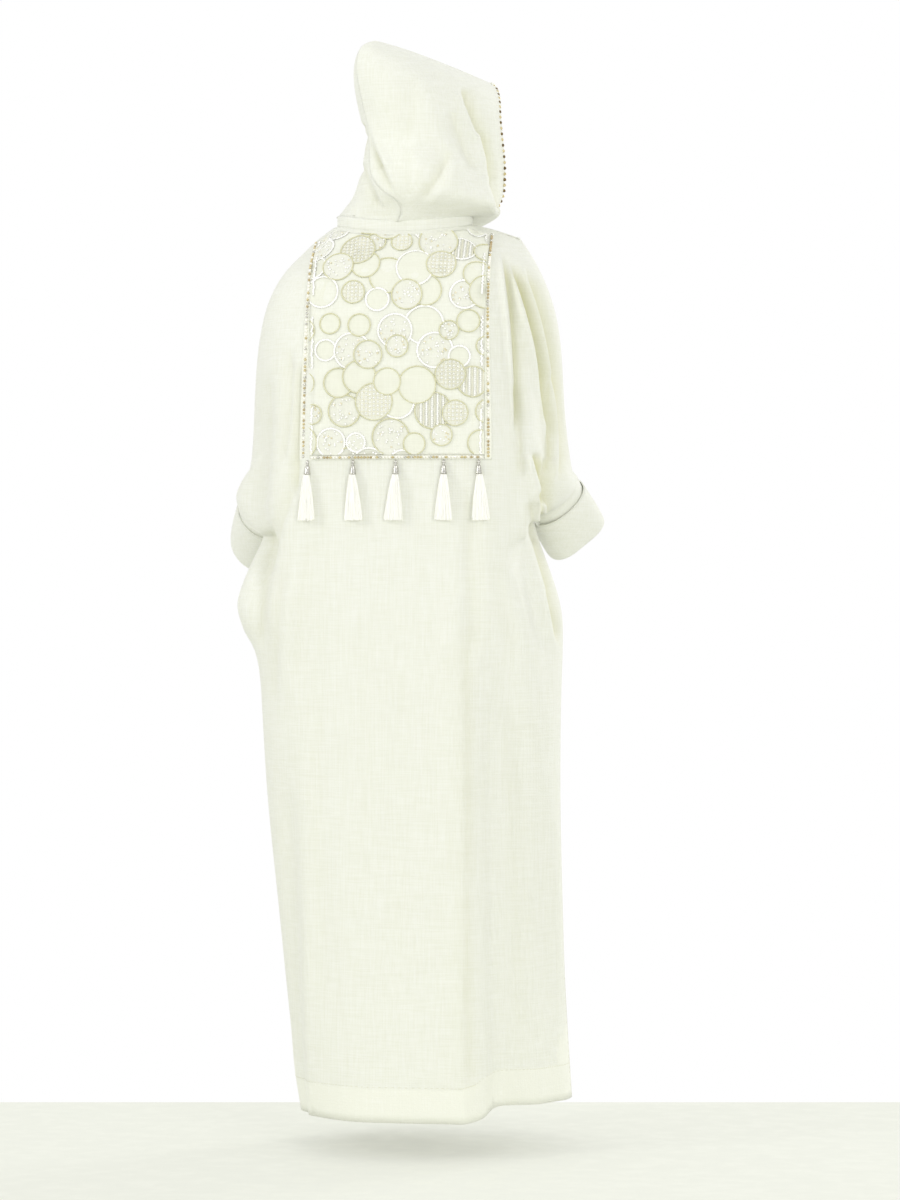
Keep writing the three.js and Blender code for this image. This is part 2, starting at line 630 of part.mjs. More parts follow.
function hoodFold(share, row) {
  let depth = 0;
  for (const fold of HOOD_FOLDS) {
    const along = (row - fold.rowFrom) / (fold.rowTo - fold.rowFrom);
    if (along < 0 || along > 1) continue;
    const place = mix(fold.shareFrom, fold.shareTo, along);
    depth += fold.deep * Math.sin(Math.PI * along) ** 0.7 * bell((share - place) / fold.wide);
  }
  return depth;
}

// The place on the neckline under a column of the hood: column by column, up to the slit in front.
function hoodTurn(share) {
  const turn = (Math.PI * Math.abs(share)) / (1 - HOOD.tape);
  const corner = Math.PI - neckStep;
  const past = (turn - corner) / (Math.PI / (1 - HOOD.tape) - corner);
  return -Math.sign(share) * (past < 0 ? turn : mix(corner, bandTurn, past));
}

function hoodPoint(share, row) {
  const at = (name) => HOOD_ROWS.at(name, row);
  const angle = (share * at("edge") * Math.PI) / 180;
  const turn = (at("turn") * Math.PI) / 180;
  const fold = hoodFold(share, row);
  const reach = Math.cos(angle) > 0 ? at("back") : at("front");
  const forward = -Math.cos(angle) * (reach - fold);
  const right = Math.sin(angle) * Math.max(0, at("half") - fold);
  const lower = at("lean") * ((forward + at("back")) / (at("front") + at("back"))) ** 1.3;
  const face = new THREE.Vector3(-Math.sin(turn), -Math.cos(turn), 0);
  const ear = new THREE.Vector3(-Math.cos(turn), Math.sin(turn), 0);
  const point = new THREE.Vector3(at("x"), at("y"), at("z") - lower);
  point.addScaledVector(face, forward).addScaledVector(ear, right);
  // The lowest row follows the neck band.
  const onBand = neckline(hoodTurn(share));
  onBand.z += NECK_BAND.high + 3 * GAP;
  return point.lerp(onBand, (1 - smooth(row / HOOD.settle)) * (row === 0 ? 1 : HOOD.held));
}
const HOOD_STEPS = [0, 0.5, 1, 1.5, ...range(11).map((i) => i + 2), 13];
const hoodShares = [...range(HOOD.columns + 1).map((i) => (i / HOOD.columns) * (1 - HOOD.tape)), 1];
const hoodHalves = {};
for (const [name, side] of [
  ["hood_right", 1],
  ["hood_left", -1],
]) {
  const pointAt = (share, row) => hoodPoint(side * share, row);
  const half = sheetOf(HOOD_STEPS.slice().reverse(), hoodShares, pointAt);
  addNormals(half, side < 0);
  // Both halves butt in the upright plane of the seam, which follows the turn of the head.
  half.points.forEach((row, j) => {
    const turn = (HOOD_ROWS.at("turn", HOOD_STEPS[HOOD_STEPS.length - 1 - j]) * Math.PI) / 180;
    const ear = new THREE.Vector3(-Math.cos(turn), Math.sin(turn), 0);
    const flatten = (n) => n.addScaledVector(ear, -n.dot(ear)).normalize();
    flatten(half.normals[j][0]);
    if (j === 0) half.normals[0].forEach(flatten);
  });
  for (const normal of half.normals[0]) if (!Number.isFinite(normal.x) || normal.z < 0) normal.set(0, 0, 1);
  for (const normal of half.normals[half.normals.length - 1]) normal.setZ(0).normalize();
  drawIn(half, { start: GAP / 2, top: GAP / 2 });
  hoodHalves[name] = half;
  addPiece(name, wall(half, CLOTH / 2, -CLOTH / 2), cloth);
}

// The beaded tape along the face: up the right half, over the top and down the left half.
const faceStrip = (half) => partOf(half, [0, HOOD_STEPS.length - 1], [HOOD.columns, HOOD.columns + 1]);
const rightStrip = faceStrip(hoodHalves.hood_right);
const leftStrip = faceStrip(hoodHalves.hood_left);
const faceTape = {
  points: [...rightStrip.points.reverse(), ...leftStrip.points],
  normals: [...rightStrip.normals.reverse(), ...leftStrip.normals],
};
addPiece("tape_hood", wall(faceTape, over + TAPE.thick, over), beads);

// The narrow tape that covers the lower end of the hood's centre seam and crosses the neck band. Its
// rows are those of the hood and then, if negative, millimetres below the neck band's upper edge.
const tabRows = [3, 2, 1.5, 1, 0.5, 0, -1, CLOTH - NECK_BAND.high];
const tabReach = NAPE_TAB.wide / 2 / NECK.left; // as an angle at the neckline
const tabPoint = (side, row) =>
  row < 0
    ? bandPoint(side * tabReach, NECK_BAND.high + row)
    : hoodPoint((-side * tabReach) / bandTurn, row);
const tab = sheetOf(tabRows, [-1, 0, 1], tabPoint);
addNormals(tab, true);
addPiece("nape_tab", wall(tab, over + NAPE_TAB.thick + 3 * GAP, over + 3 * GAP), cloth);

// ---------------------------------------------------------------- tassels
// Where a tassel hangs: the point of the back's cloth just below the tape, and the level way out from it.
function tasselPlace(x) {
  const side = x < 0 ? -1 : 1;
  const share = (x / (side > 0 ? YOKE.left : YOKE.right)) * YOKE_SHARE;
  const down = YOKE.depth + TAPE.wide + GAP;
  const point = bodyPoint("back", share, down);
  const beside = bodyPoint("back", share + 0.02, down).sub(bodyPoint("back", share - 0.02, down));
  const out = new THREE.Vector3(-beside.y, beside.x, 0).normalize();
  return { point, out };
}

// A solid of revolution about the upright axis, from its profile of radius and height.
function turned(profile, sides = 8) {
  const points = profile.map(([radius, high]) => new THREE.Vector2(radius, high));
  const geometry = new THREE.LatheGeometry(points, sides).rotateX(Math.PI / 2);
  geometry.deleteAttribute("normal");
  geometry.deleteAttribute("uv");
  return turnedOut(mergeVertices(geometry, 1e-4));
}

// A strand of three sides through its points, each a little thinner than the one before.
function strandGeometry(points, radius) {
  const position = [];
  points.forEach((p, k) => {
    for (let m = 0; m < 3; m++) {
      const angle = (2 * Math.PI * m) / 3 + points[0].x;
      const r = radius * (1 - TASSEL.taper * k);
      position.push(p.x + r * Math.cos(angle), p.y + r * Math.sin(angle), p.z);
    }
  });
  const index = [0, 1, 2];
  for (let k = 0; k < points.length - 1; k++)
    for (let m = 0; m < 3; m++) {
      const [a, b] = [3 * k + m, 3 * k + ((m + 1) % 3)];
      index.push(a, a + 3, b, b, a + 3, b + 3);
    }
  const last = 3 * (points.length - 1);
  index.push(last, last + 2, last + 1);
  const geometry = new THREE.BufferGeometry();
  geometry.setAttribute("position", new THREE.Float32BufferAttribute(position, 3));
  geometry.setIndex(index);
  return turnedOut(geometry);
}

function solidOf(geometry) {
  const vertProperties = geometry.getAttribute("position").array;
  const triVerts = new Uint32Array(geometry.index.array);
  return new wasm.Manifold(new wasm.Mesh({ numProp: 3, vertProperties, triVerts }));
}

function geometryOf(solid) {
  const { vertProperties, triVerts } = solid.getMesh();
  const geometry = new THREE.BufferGeometry();
  geometry.setAttribute("position", new THREE.BufferAttribute(vertProperties, 3));
  geometry.setIndex(new THREE.BufferAttribute(triVerts, 1));
  return geometry;
}

// The skirt of silk strands under its head, hanging from the origin, spread wider along x than along y.
function tasselGeometry(number) {
  const { skirt, bend, flat } = TASSEL;
  const { radius, high } = TASSEL.head;
  let solid = solidOf(
    turned([
      [0, 0],
      [radius * 0.9, 0],
      [radius, -high / 2],
      [radius, -high],
      [0, -high],
    ]),
  );
  for (const { strands, root, end } of TASSEL.rings)
    for (let k = 0; k < strands; k++) {
      const angle = (2 * Math.PI * (k + 0.5)) / strands;
      const sway = TASSEL.sway * Math.sin(2.4 * k + number);
      const short = TASSEL.uneven * (1 + Math.sin(1.7 * k + 2 * number));
      const place = (r, z, swayed = 0) => {
        const outwards = mix(r, r * flat, -z / skirt);
        return new THREE.Vector3(Math.cos(angle) * r + swayed, Math.sin(angle) * outwards, z);
      };
      const points = [
        place(root, 1 - high),
        place(mix(root, end, bend.out), -bend.down * skirt),
        place(end, short - skirt, sway),
      ];
      solid = solid.add(solidOf(strandGeometry(points, TASSEL.strand)));
    }
  return geometryOf(solid.asOriginal().simplify(FINEST_EDGE));
}

const capLong = CAP.beadLong + CAP.bellLong;
TASSEL.at.forEach((x, i) => {
  const { point, out } = tasselPlace(x);
  const hanger = new THREE.Group();
  hanger.position.copy(point);
  hanger.rotation.z = Math.atan2(-out.x, out.y);
  kaftan.add(hanger);
  // The cap leans out from the tape until its bell clears the cloth.
  const beadOut = CLOTH / 2 + CAP.bead + 2 * GAP;
  const lean = Math.asin((CAP.out - beadOut) / capLong);
  const cap = addPiece(
    "cap_" + (i + 1),
    turned([
      [0, 0],
      [CAP.bead * 0.6, -0.4],
      [CAP.bead, -CAP.beadLong / 2],
      [CAP.bead * 0.6, -CAP.beadLong],
      [CAP.bell * 0.62, -CAP.beadLong - 2],
      [CAP.bell * 0.82, -CAP.beadLong - 9],
      [CAP.bell, -capLong],
      [0, -capLong],
    ]),
    silver,
    hanger,
  );
  cap.position.y = beadOut;
  cap.rotation.x = lean;
  const tassel = addPiece("tassel_" + (i + 1), tasselGeometry(i + 1), silk, hanger);
  tassel.position.set(0, CAP.out + TASSEL.behind, -capLong - TASSEL.below);
});

export default kaftan;
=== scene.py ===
# %% [markdown]
# A hooded maxi kaftan, dressed for its picture.
# The imported model gives the garment's real size and every seam. This script lays thin cloth on those
# solids, presses the folds in one by one, and sews on the yoke's discs, the beads and the tassels.
# Lengths are in millimetres wherever MM stands beside them, and in metres otherwise.

import math
import random

import bmesh
import bpy
import numpy as np
from mathutils import Matrix, Vector
from mathutils.bvhtree import BVHTree
from mathutils.kdtree import KDTree


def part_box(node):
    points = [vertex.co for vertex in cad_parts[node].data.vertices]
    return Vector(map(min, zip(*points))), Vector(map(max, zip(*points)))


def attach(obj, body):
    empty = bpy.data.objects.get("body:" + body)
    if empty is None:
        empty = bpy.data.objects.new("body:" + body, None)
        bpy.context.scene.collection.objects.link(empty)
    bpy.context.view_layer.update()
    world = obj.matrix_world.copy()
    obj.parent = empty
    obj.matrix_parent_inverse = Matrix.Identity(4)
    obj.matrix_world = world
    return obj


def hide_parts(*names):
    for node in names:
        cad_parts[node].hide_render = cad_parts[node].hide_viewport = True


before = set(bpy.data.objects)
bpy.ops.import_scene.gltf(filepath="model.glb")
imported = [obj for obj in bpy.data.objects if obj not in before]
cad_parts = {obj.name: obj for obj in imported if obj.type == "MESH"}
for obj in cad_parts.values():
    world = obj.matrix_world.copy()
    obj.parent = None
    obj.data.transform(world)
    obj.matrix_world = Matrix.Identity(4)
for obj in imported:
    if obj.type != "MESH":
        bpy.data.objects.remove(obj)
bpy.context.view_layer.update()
MM = 0.001
TINY = 1e-9
print("nodes:", len(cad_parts))

# %% [markdown]
# The camera stands level, almost straight behind the wearer, six metres away. A long lens keeps the
# upright folds upright. Its sensor's long side is the picture's height.

# %% Camera
AZIMUTH = math.radians(186)
TO_CAMERA = Vector((math.sin(AZIMUTH), -math.cos(AZIMUTH), 0))
ACROSS = Vector((math.cos(AZIMUTH), math.sin(AZIMUTH), 0))  # the picture's right
AIM = {"across": 81 * MM, "up": -617 * MM}  # the place in the middle of the picture
DISTANCE = 6.0
SENSOR = 36  # millimetres of the sensor's long side
VIEW_HEIGHT = 2.028  # metres of the picture's height at the garment

lens = bpy.data.cameras.new("camera")
lens.sensor_width = SENSOR
lens.lens = lens.sensor_width * DISTANCE / VIEW_HEIGHT
camera = bpy.data.objects.new("camera", lens)
camera.location = TO_CAMERA * DISTANCE + ACROSS * AIM["across"] + Vector((0, 0, AIM["up"]))
camera.rotation_euler = (-TO_CAMERA).to_track_quat("-Z", "Y").to_euler()
bpy.context.scene.collection.objects.link(camera)
bpy.context.scene.camera = camera
print("lens", round(lens.lens, 1), "mm")

# %% [markdown]
# Materials start from hex colours, turned to the linear values that the shader works in. One function
# adds a node with its settings and links, and every material below is built with it.

# %% Colour and node helpers
def linear(hex_colour):
    parts = [int(hex_colour[i : i + 2], 16) / 255 for i in (1, 3, 5)]
    return [c / 12.92 if c <= 0.04045 else ((c + 0.055) / 1.055) ** 2.4 for c in parts] + [1]


def add_node(tree, kind, settings=None, **inputs):
    node = tree.nodes.new(kind)
    for name, value in (settings or {}).items():
        setattr(node, name, value)
    for name, value in inputs.items():
        socket = node.inputs[int(name[1:])] if name[1:].isdigit() else node.inputs[name.replace("_", " ")]
        if isinstance(value, bpy.types.NodeSocket):
            tree.links.new(value, socket)
        else:
            socket.default_value = value
    return node


def let_light_through(tree, shader, share, colour):
    """Thin cloth and silk pass on a share of the light that falls on their far side."""
    far_side = add_node(tree, "ShaderNodeBsdfTranslucent", Color=linear(colour))
    both = add_node(
        tree, "ShaderNodeMixShader", _0=share, _1=shader.outputs["BSDF"], _2=far_side.outputs["BSDF"]
    )
    tree.links.new(both.outputs["Shader"], tree.nodes["Material Output"].inputs["Surface"])


def new_material(name, colour, roughness, metallic=0.0, **more):
    made = bpy.data.materials.new(name)
    made.use_nodes = True
    shader = made.node_tree.nodes["Principled BSDF"]
    shader.inputs["Base Color"].default_value = linear(colour)
    shader.inputs["Roughness"].default_value = roughness
    shader.inputs["Metallic"].default_value = metallic
    for socket, value in more.items():
        shader.inputs[socket.replace("_", " ")].default_value = value
    return made, made.node_tree, shader


def streaks(tree, point, across, high, detail=2.0):
    """Noise whose grain is so many millimetres across and high."""
    scale = (1 / (across * MM), 1 / (across * MM), 1 / (high * MM))
    scaled = add_node(tree, "ShaderNodeMapping", {"vector_type": "POINT"}, Vector=point, Scale=scale)
    noise = add_node(tree, "ShaderNodeTexNoise", Vector=scaled.outputs[0], Scale=1.0, Detail=detail)
    return noise.outputs["Fac"]


def mixed(tree, amount, low, high):
    mix = add_node(
        tree, "ShaderNodeMix", {"data_type": "RGBA"}, _0=amount, _6=linear(low), _7=linear(high)
    )
    return mix.outputs[2]


# %% [markdown]
# Thread, cord, sequins, beads and cast silver are never quite even. Each is one finish that wanders
# between two near colours, a little glossier here and duller there, over the size of its own grain.
# A picture of each would show more, but this follows any shape and needs no unwrapping.

# %% Grained finishes
NOISE_SPAN = {"From_Min": 0.35, "From_Max": 0.65}  # most of a noise lies between these
GLOSS_SPAN = (0.8, 1.2)  # times the roughness
GRAIN_HIGH = 0.3


def grained(name, colours, roughness, grain, relief, metallic=0.0, **more):
    """A finish that varies between two colours, in colour, gloss and height, over its grain's size."""
    made, tree, shader = new_material(name, colours[0], roughness, metallic, **more)
    point = add_node(tree, "ShaderNodeTexCoord").outputs["Object"]
    noise = streaks(tree, point, *grain)
    spread = add_node(tree, "ShaderNodeMapRange", Value=noise, **NOISE_SPAN).outputs[0]
    tree.links.new(mixed(tree, spread, *colours), shader.inputs["Base Color"])
    glossy, dull = (roughness * share for share in GLOSS_SPAN)
    gloss = add_node(tree, "ShaderNodeMapRange", Value=spread, To_Min=glossy, To_Max=min(dull, 1))
    tree.links.new(gloss.outputs[0], shader.inputs["Roughness"])
    bump = add_node(tree, "ShaderNodeBump", Strength=relief, Distance=GRAIN_HIGH * MM, Height=noise)
    tree.links.new(bump.outputs["Normal"], shader.inputs["Normal"])
    return made


# %% [markdown]
# A studio for a pale garment is bright all round: the white room gives most of the light. Soft lights
# from both sides let the folds show, and a third stands at the front for the other views. A single
# strong lamp would be simpler, but it would throw hard shade on cloth that is nearly white.

# %% Studio
ROOM = {"seen": 1.0, "light": 0.91}  # how bright the white room looks, and how much light it gives
LIT = Vector((0, 0, -0.6))  # the middle of the garment
SOFT_LIGHTS = {  # where each one stands, how wide it is, and its watts
    "key": ((4.2, 2.6, 1.6), 0.8, 54),
    "fill": ((-2.6, 4.6, 0.6), 1.4, 57),
    "front": ((-3.0, -3.6, 1.2), 1.4, 60),
}


def soft_light(name, place, size, watts):
    data = bpy.data.lights.new(name, "AREA")
    data.size = size
    data.energy = watts
    light = bpy.data.objects.new(name, data)
    light.location = place
    light.rotation_euler = (LIT - Vector(place)).to_track_quat("-Z", "Y").to_euler()
    bpy.context.scene.collection.objects.link(light)


world = bpy.data.worlds.new("studio")
world.use_nodes = True
room = world.node_tree.nodes["Background"]
room.inputs["Color"].default_value = (1, 1, 1, 1)
seen_directly = add_node(world.node_tree, "ShaderNodeLightPath").outputs["Is Camera Ray"]
brightness = add_node(
    world.node_tree, "ShaderNodeMapRange", Value=seen_directly, To_Min=ROOM["light"], To_Max=ROOM["seen"]
)
world.node_tree.links.new(brightness.outputs["Result"], room.inputs["Strength"])
bpy.context.scene.world = world
bpy.context.scene.view_settings.view_transform = "Standard"
for name, (place, size, watts) in SOFT_LIGHTS.items():
    soft_light(name, place, size, watts)
print("lights:", ", ".join(SOFT_LIGHTS))

# %% [markdown]
# The cloth is a light crepe linen. Its thick and thin threads make slubs, short level streaks a
# millimetre high and a few centimetres long, and the crepe twist makes it pebbly. Both are noise:
# stretched along the thread for the slubs, and round for the pebbles. They are drawn coarser than
# the real threads, because half a millimetre is finer than the picture's pixels.
#
# Deep in a fold the light has come through several layers, which leaves it darker and yellower. That
# shade is painted into the cloth's colour by two attributes: one that the pressing of a fold leaves
# behind, and turned_up, which paints a little shade on the double layer of the hem.

# %% Cloth material
SLUB = {"long": 38, "high": 1.6}  # millimetres
WARP = {"wide": 2.4, "long": 60.8}  # the upright threads
PEBBLE = 3.2
MATT = {"roughness": 0.88, "Sheen_Weight": 0.25, "Sheen_Roughness": 0.5}  # crepe scatters light, and is fuzzy
THREAD_SPAN = {"From_Min": 0.7, "From_Max": 1.3}  # most of the sum of two noises lies between these
CLOTH_HIGH = 1.2
SHEER = 0.18  # the share of the light that the cloth passes on
SHEER_DOUBLE = 0.05  # the same where it is turned up and so double
# painted shade: the hem's double cloth is darkened this share of the way to the shade colour
DOUBLE_PAINTED_SHADE = 0.6  # how much of the way to the shade the double cloth is
# painted shade: the colour that deep folds are painted, and its share where a fold is deepest
PAINTED_FOLD_SHADE = {"colour": "#D4D298", "tone": 0.85}  # its share of the colour where a fold is deepest


def crepe_linen(name, shade, light, relief=0.35):
    made, tree, shader = new_material(name, light, **MATT)
    point = add_node(tree, "ShaderNodeTexCoord").outputs["Object"]
    turned_up = add_node(tree, "ShaderNodeAttribute", {"attribute_name": "turned_up"}).outputs["Fac"]
    painted_fold_shade = add_node(tree, "ShaderNodeAttribute", {"attribute_name": "painted_fold_shade"}).outputs["Fac"]
    slubs = streaks(tree, point, SLUB["long"], SLUB["high"], 3.0)
    warp = streaks(tree, point, WARP["wide"], WARP["long"])
    pebbles = streaks(tree, point, PEBBLE, PEBBLE)
    threads = add_node(tree, "ShaderNodeMath", {"operation": "ADD"}, _0=slubs, _1=warp).outputs[0]
    cloth = add_node(tree, "ShaderNodeMath", {"operation": "ADD"}, _0=threads, _1=pebbles).outputs[0]
    tone = add_node(tree, "ShaderNodeMapRange", Value=threads, **THREAD_SPAN).outputs[0]
    # painted shade on the double layer of the hem
    double_painted_shade = add_node(tree, "ShaderNodeMath", {"operation": "MULTIPLY"}, _0=turned_up, _1=DOUBLE_PAINTED_SHADE)
    tone = add_node(tree, "ShaderNodeMath", {"operation": "SUBTRACT"}, _0=tone, _1=double_painted_shade.outputs[0])
    plain = mixed(tree, tone.outputs[0], shade, light)
    # painted shade: the colour goes towards the fold colour where the pressing left its shade
    deep = add_node(tree, "ShaderNodeMath", {"operation": "MULTIPLY"}, _0=painted_fold_shade, _1=PAINTED_FOLD_SHADE["tone"])
    shaded = add_node(
        tree, "ShaderNodeMix", {"data_type": "RGBA"}, _0=deep.outputs[0], _6=plain, _7=linear(PAINTED_FOLD_SHADE["colour"])
    )
    tree.links.new(shaded.outputs[2], shader.inputs["Base Color"])
    bump = add_node(tree, "ShaderNodeBump", Strength=relief, Distance=CLOTH_HIGH * MM, Height=cloth)
    tree.links.new(bump.outputs["Normal"], shader.inputs["Normal"])
    share = add_node(tree, "ShaderNodeMapRange", Value=turned_up, To_Min=SHEER, To_Max=SHEER_DOUBLE)
    let_light_through(tree, shader, share.outputs[0], light)
    return made


cloth_finish = crepe_linen("crepe linen", "#F0F1E4", "#F9FAF2")
print("slub scale", SLUB, "pebble", PEBBLE)

# %% [markdown]
# Each piece of cloth starts as one layer of its solid's wall. The wall's two layers meet at narrow
# rims with a sharp turn, so a copy of the solid is merged, cut along every sharp edge, and the part
# with the largest area kept: the outer layer. Its triangles become quads again where the longest
# edge of both triangles is a diagonal. A subdivision then gives the pressed folds enough points to
# work with, and a solidify modifier gives the thickness back at the end.

# %% One layer of a solid's wall
SHARP = math.radians(58)
SEAM = 0.02 * MM  # closer points than this are one
SCRAP = 8  # a group of fewer faces than this may be a facet that a deep fold cut off
AXIS_LONG = 0.5  # heights count for half when a face is told from its far side


def face_groups(bm, limit):
    """The faces in groups that smooth edges join."""
    left = set(bm.faces)
    groups = []
    while left:
        spreading = [left.pop()]
        group = list(spreading)
        while spreading:
            face = spreading.pop()
            for edge in face.edges:
                if len(edge.link_faces) != 2 or edge.calc_face_angle(math.pi) > limit:
                    continue
                for other in edge.link_faces:
                    if other in left:
                        left.discard(other)
                        spreading.append(other)
                        group.append(other)
        groups.append(group)
    return sorted(groups, key=lambda g: -sum(f.calc_area() for f in g))


def to_quads(bm):
    def is_longest(edge, face):
        return edge.calc_length() >= max(e.calc_length() for e in face.edges) - TINY

    diagonals = [
        e for e in bm.edges if len(e.link_faces) == 2 and all(is_longest(e, f) for f in e.link_faces)
    ]
    bmesh.ops.dissolve_edges(bm, edges=diagonals, use_verts=False)
    left = [f for f in bm.faces if len(f.verts) == 3]
    bmesh.ops.join_triangles(
        bm, faces=left, angle_face_threshold=math.pi, angle_shape_threshold=math.pi
    )


def merged(node):
    bm = bmesh.new()
    bm.from_mesh(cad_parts[node].data)
    bmesh.ops.remove_doubles(bm, verts=bm.verts, dist=SEAM)
    return bm


def layer_of(node):
    """A bmesh of the outer layer of a CAD wall, in quads."""
    bm = merged(node)
    groups = face_groups(bm, SHARP)
    kept = set(groups[0])
    # A facet that a deep fold cuts off belongs to the layer if all its edges but sharp ones do.
    for group in groups[1:]:
        beside = {o for f in group for e in f.edges for o in e.link_faces} - set(group)
        if len(group) < SCRAP and beside <= kept:
            kept |= set(group)
    bmesh.ops.delete(bm, geom=[f for f in bm.faces if f not in kept], context="FACES")
    to_quads(bm)
    return bm


def layer_facing_out(node):
    """The same for a wall with a rounded rim: the faces that look away from the piece's upright axis."""
    bm = merged(node)
    low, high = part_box(node)
    axis = (low + high) / 2

    def looks_in(face):
        outwards = face.calc_center_median() - axis
        outwards.z *= AXIS_LONG
        return face.normal.dot(outwards) <= 0

    bmesh.ops.delete(bm, geom=[f for f in bm.faces if looks_in(f)], context="FACES")
    outer = set(face_groups(bm, SHARP)[0])
    bmesh.ops.delete(bm, geom=[f for f in bm.faces if f not in outer], context="FACES")
    to_quads(bm)
    return bm


def with_sharp_rims(bm):
    """A whole closed wall, both layers and its rims, with the rims kept sharp when it is rounded."""
    crease = bm.edges.layers.float.new("crease_edge")
    for edge in bm.edges:
        if len(edge.link_faces) == 2 and edge.calc_face_angle(0) > SHARP:
            edge[crease] = 1.0
    to_quads(bm)
    return bm


def finish_mesh(name, bm, finish):
    """Makes the object from a bmesh, in place, smooth, with its finish, riding on the one body."""
    mesh = bpy.data.meshes.new(name)
    bm.to_mesh(mesh)
    bm.free()
    mesh.polygons.foreach_set("use_smooth", [True] * len(mesh.polygons))
    piece = bpy.data.objects.new(name, mesh)
    bpy.context.scene.collection.objects.link(piece)
    if finish:
        mesh.materials.append(finish)
    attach(piece, "root")
    return piece


def tubes(name, runs, radius, finish):
    """Round threads through rows of points, all in one piece."""
    line = bpy.data.curves.new(name, "CURVE")
    line.dimensions = "3D"
    line.bevel_depth = radius * MM
    line.bevel_resolution = 0
    line.use_fill_caps = True
    for run in runs:
        spline = line.splines.new("POLY")
        spline.points.add(len(run) - 1)
        for point, place in zip(spline.points, run):
            point.co = (*place, 1)
    working = bpy.data.objects.new(name, line)
    bpy.context.scene.collection.objects.link(working)
    graph = bpy.context.evaluated_depsgraph_get()
    tube_mesh = bpy.data.meshes.new_from_object(working.evaluated_get(graph))
    made = bmesh.new()
    made.from_mesh(tube_mesh)
    bpy.data.meshes.remove(tube_mesh)
    bpy.data.objects.remove(working)
    return finish_mesh(name, made, finish)


def append(bm, small):
    """Adds a small finished bmesh to a large one. Operators are quick only while a mesh is small."""
    holder = bpy.data.meshes.new("holder")
    small.to_mesh(holder)
    small.free()
    bm.from_mesh(holder)
    bpy.data.meshes.remove(holder)


def away_from_face(edge):
    """The way that the surface would go on past a free edge."""
    a, b = edge.verts
    along = (b.co - a.co).normalized()
    away = (a.co + b.co) / 2 - edge.link_faces[0].calc_center_median()
    return (away - along * away.dot(along)).normalized()


def with_allowance(bm, wide, deep, sewn=lambda middle, away: True, way_at=None):
    """Extends a layer past its sewn edges, under the pieces beside it, so that no seam gapes. It goes
    straight on, or the way that way_at gives for a place."""
    bm.normal_update()
    rim, outwards = [], {}
    for edge in bm.edges:
        if len(edge.link_faces) != 1:
            continue
        away = away_from_face(edge)
        if sewn((edge.verts[0].co + edge.verts[1].co) / 2, away):
            rim.append(edge)
            for vert in edge.verts:
                outwards[vert] = outwards.get(vert, Vector()) + away
    grown = bmesh.ops.extrude_edge_only(bm, edges=rim)["geom"]
    for vert in [v for v in grown if isinstance(v, bmesh.types.BMVert)]:
        base = next(e.other_vert(vert) for e in vert.link_edges if e.other_vert(vert) in outwards)
        way = way_at(base.co) if way_at else outwards[base].normalized()
        vert.co += way * wide * MM - base.normal * deep * MM
    return bm


def subdivided(bm, levels):
    """The same surface with more points, rounded between the old ones."""
    mesh = bpy.data.meshes.new("working")
    bm.to_mesh(mesh)
    bm.free()
    working = bpy.data.objects.new("working", mesh)
    bpy.context.scene.collection.objects.link(working)
    rounder = working.modifiers.new("rounder", "SUBSURF")
    rounder.levels = levels
    rounder.boundary_smooth = "PRESERVE_CORNERS"
    graph = bpy.context.evaluated_depsgraph_get()
    made = bmesh.new()
    made.from_object(working, graph)
    bpy.data.objects.remove(working)
    return made


def count(bm):
    return f"{len(bm.faces)} faces"


# %% [markdown]
# Folds are pressed one by one. Each row is a straight run between two places on the garment as seen
# from behind: millimetres across to the right, and up. A row says how deep it goes in, how wide it is,
# and how high the soft ridge beside it stands, on the right if positive and on the left if negative. A
# cloth simulation would fold the garment by itself, but not where a given garment happens to fold.

# %% Pressing folds
def smoothstep(t):
    t = np.clip(t, 0, 1)
    return t * t * (3 - 2 * t)


HEM_TOP = -1380  # cut edges below this hang free, so folds run out over them
SEAM_FADE = 26
FINE = 2.4  # how far from a narrow fold, in its widths, the faces are halved
ENDS = 0.16  # the share of a fold's length over which it runs out
STEEP, GENTLE = 0.65, 1.15  # the widths of a trough's two sides
RIDGE_OFF, RIDGE_WIDE = 1.7, 1.1
# the painted shade of a fold: the depth that paints it in full, and how far it reaches on each side
FULLY_SHADED = 13  # a fold this deep is in full shade
SHADE_STEEP, SHADE_GENTLE = 0.42, 1.1  # how far its shade reaches on the two sides, in widths
CREASE = ("x0", "z0", "x1", "z1", "deep", "wide", "ridge", "bow")


def run_of(row, seen):
    """How far along a row, from 0 to 1, and how far to the right of it each place is."""
    c = dict(zip(CREASE, row))
    start = np.array([c["x0"], c["z0"]], float)
    way = np.array([c["x1"], c["z1"]], float) - start
    length = np.linalg.norm(way)
    way /= length
    side = np.array([-way[1], way[0]])
    if side[0] < 0:
        side = -side
    along = (seen - start) @ way / length
    return c, along, (seen - start) @ side - c["bow"] * 4 * along * (1 - along)


def seen_from_behind(places):
    points = np.array(places)
    return np.stack([points @ np.array(ACROSS), points[:, 2]], axis=1) / MM


def finer_near(bm, rows):
    """Halves the faces beside the folds, so that a narrow fold has points enough."""
    faces = list(bm.faces)
    seen = seen_from_behind([f.calc_center_median() for f in faces])
    near = np.zeros(len(faces), bool)
    for row in rows:
        c, along, off = run_of(row, seen)
        near |= (along > 0) & (along < 1) & (np.abs(off) < FINE * c["wide"])
    edges = dict.fromkeys(e for f, chosen in zip(faces, near) if chosen for e in f.edges)
    bmesh.ops.subdivide_edges(bm, edges=list(edges), cuts=1, use_grid_fill=True)
    return bm


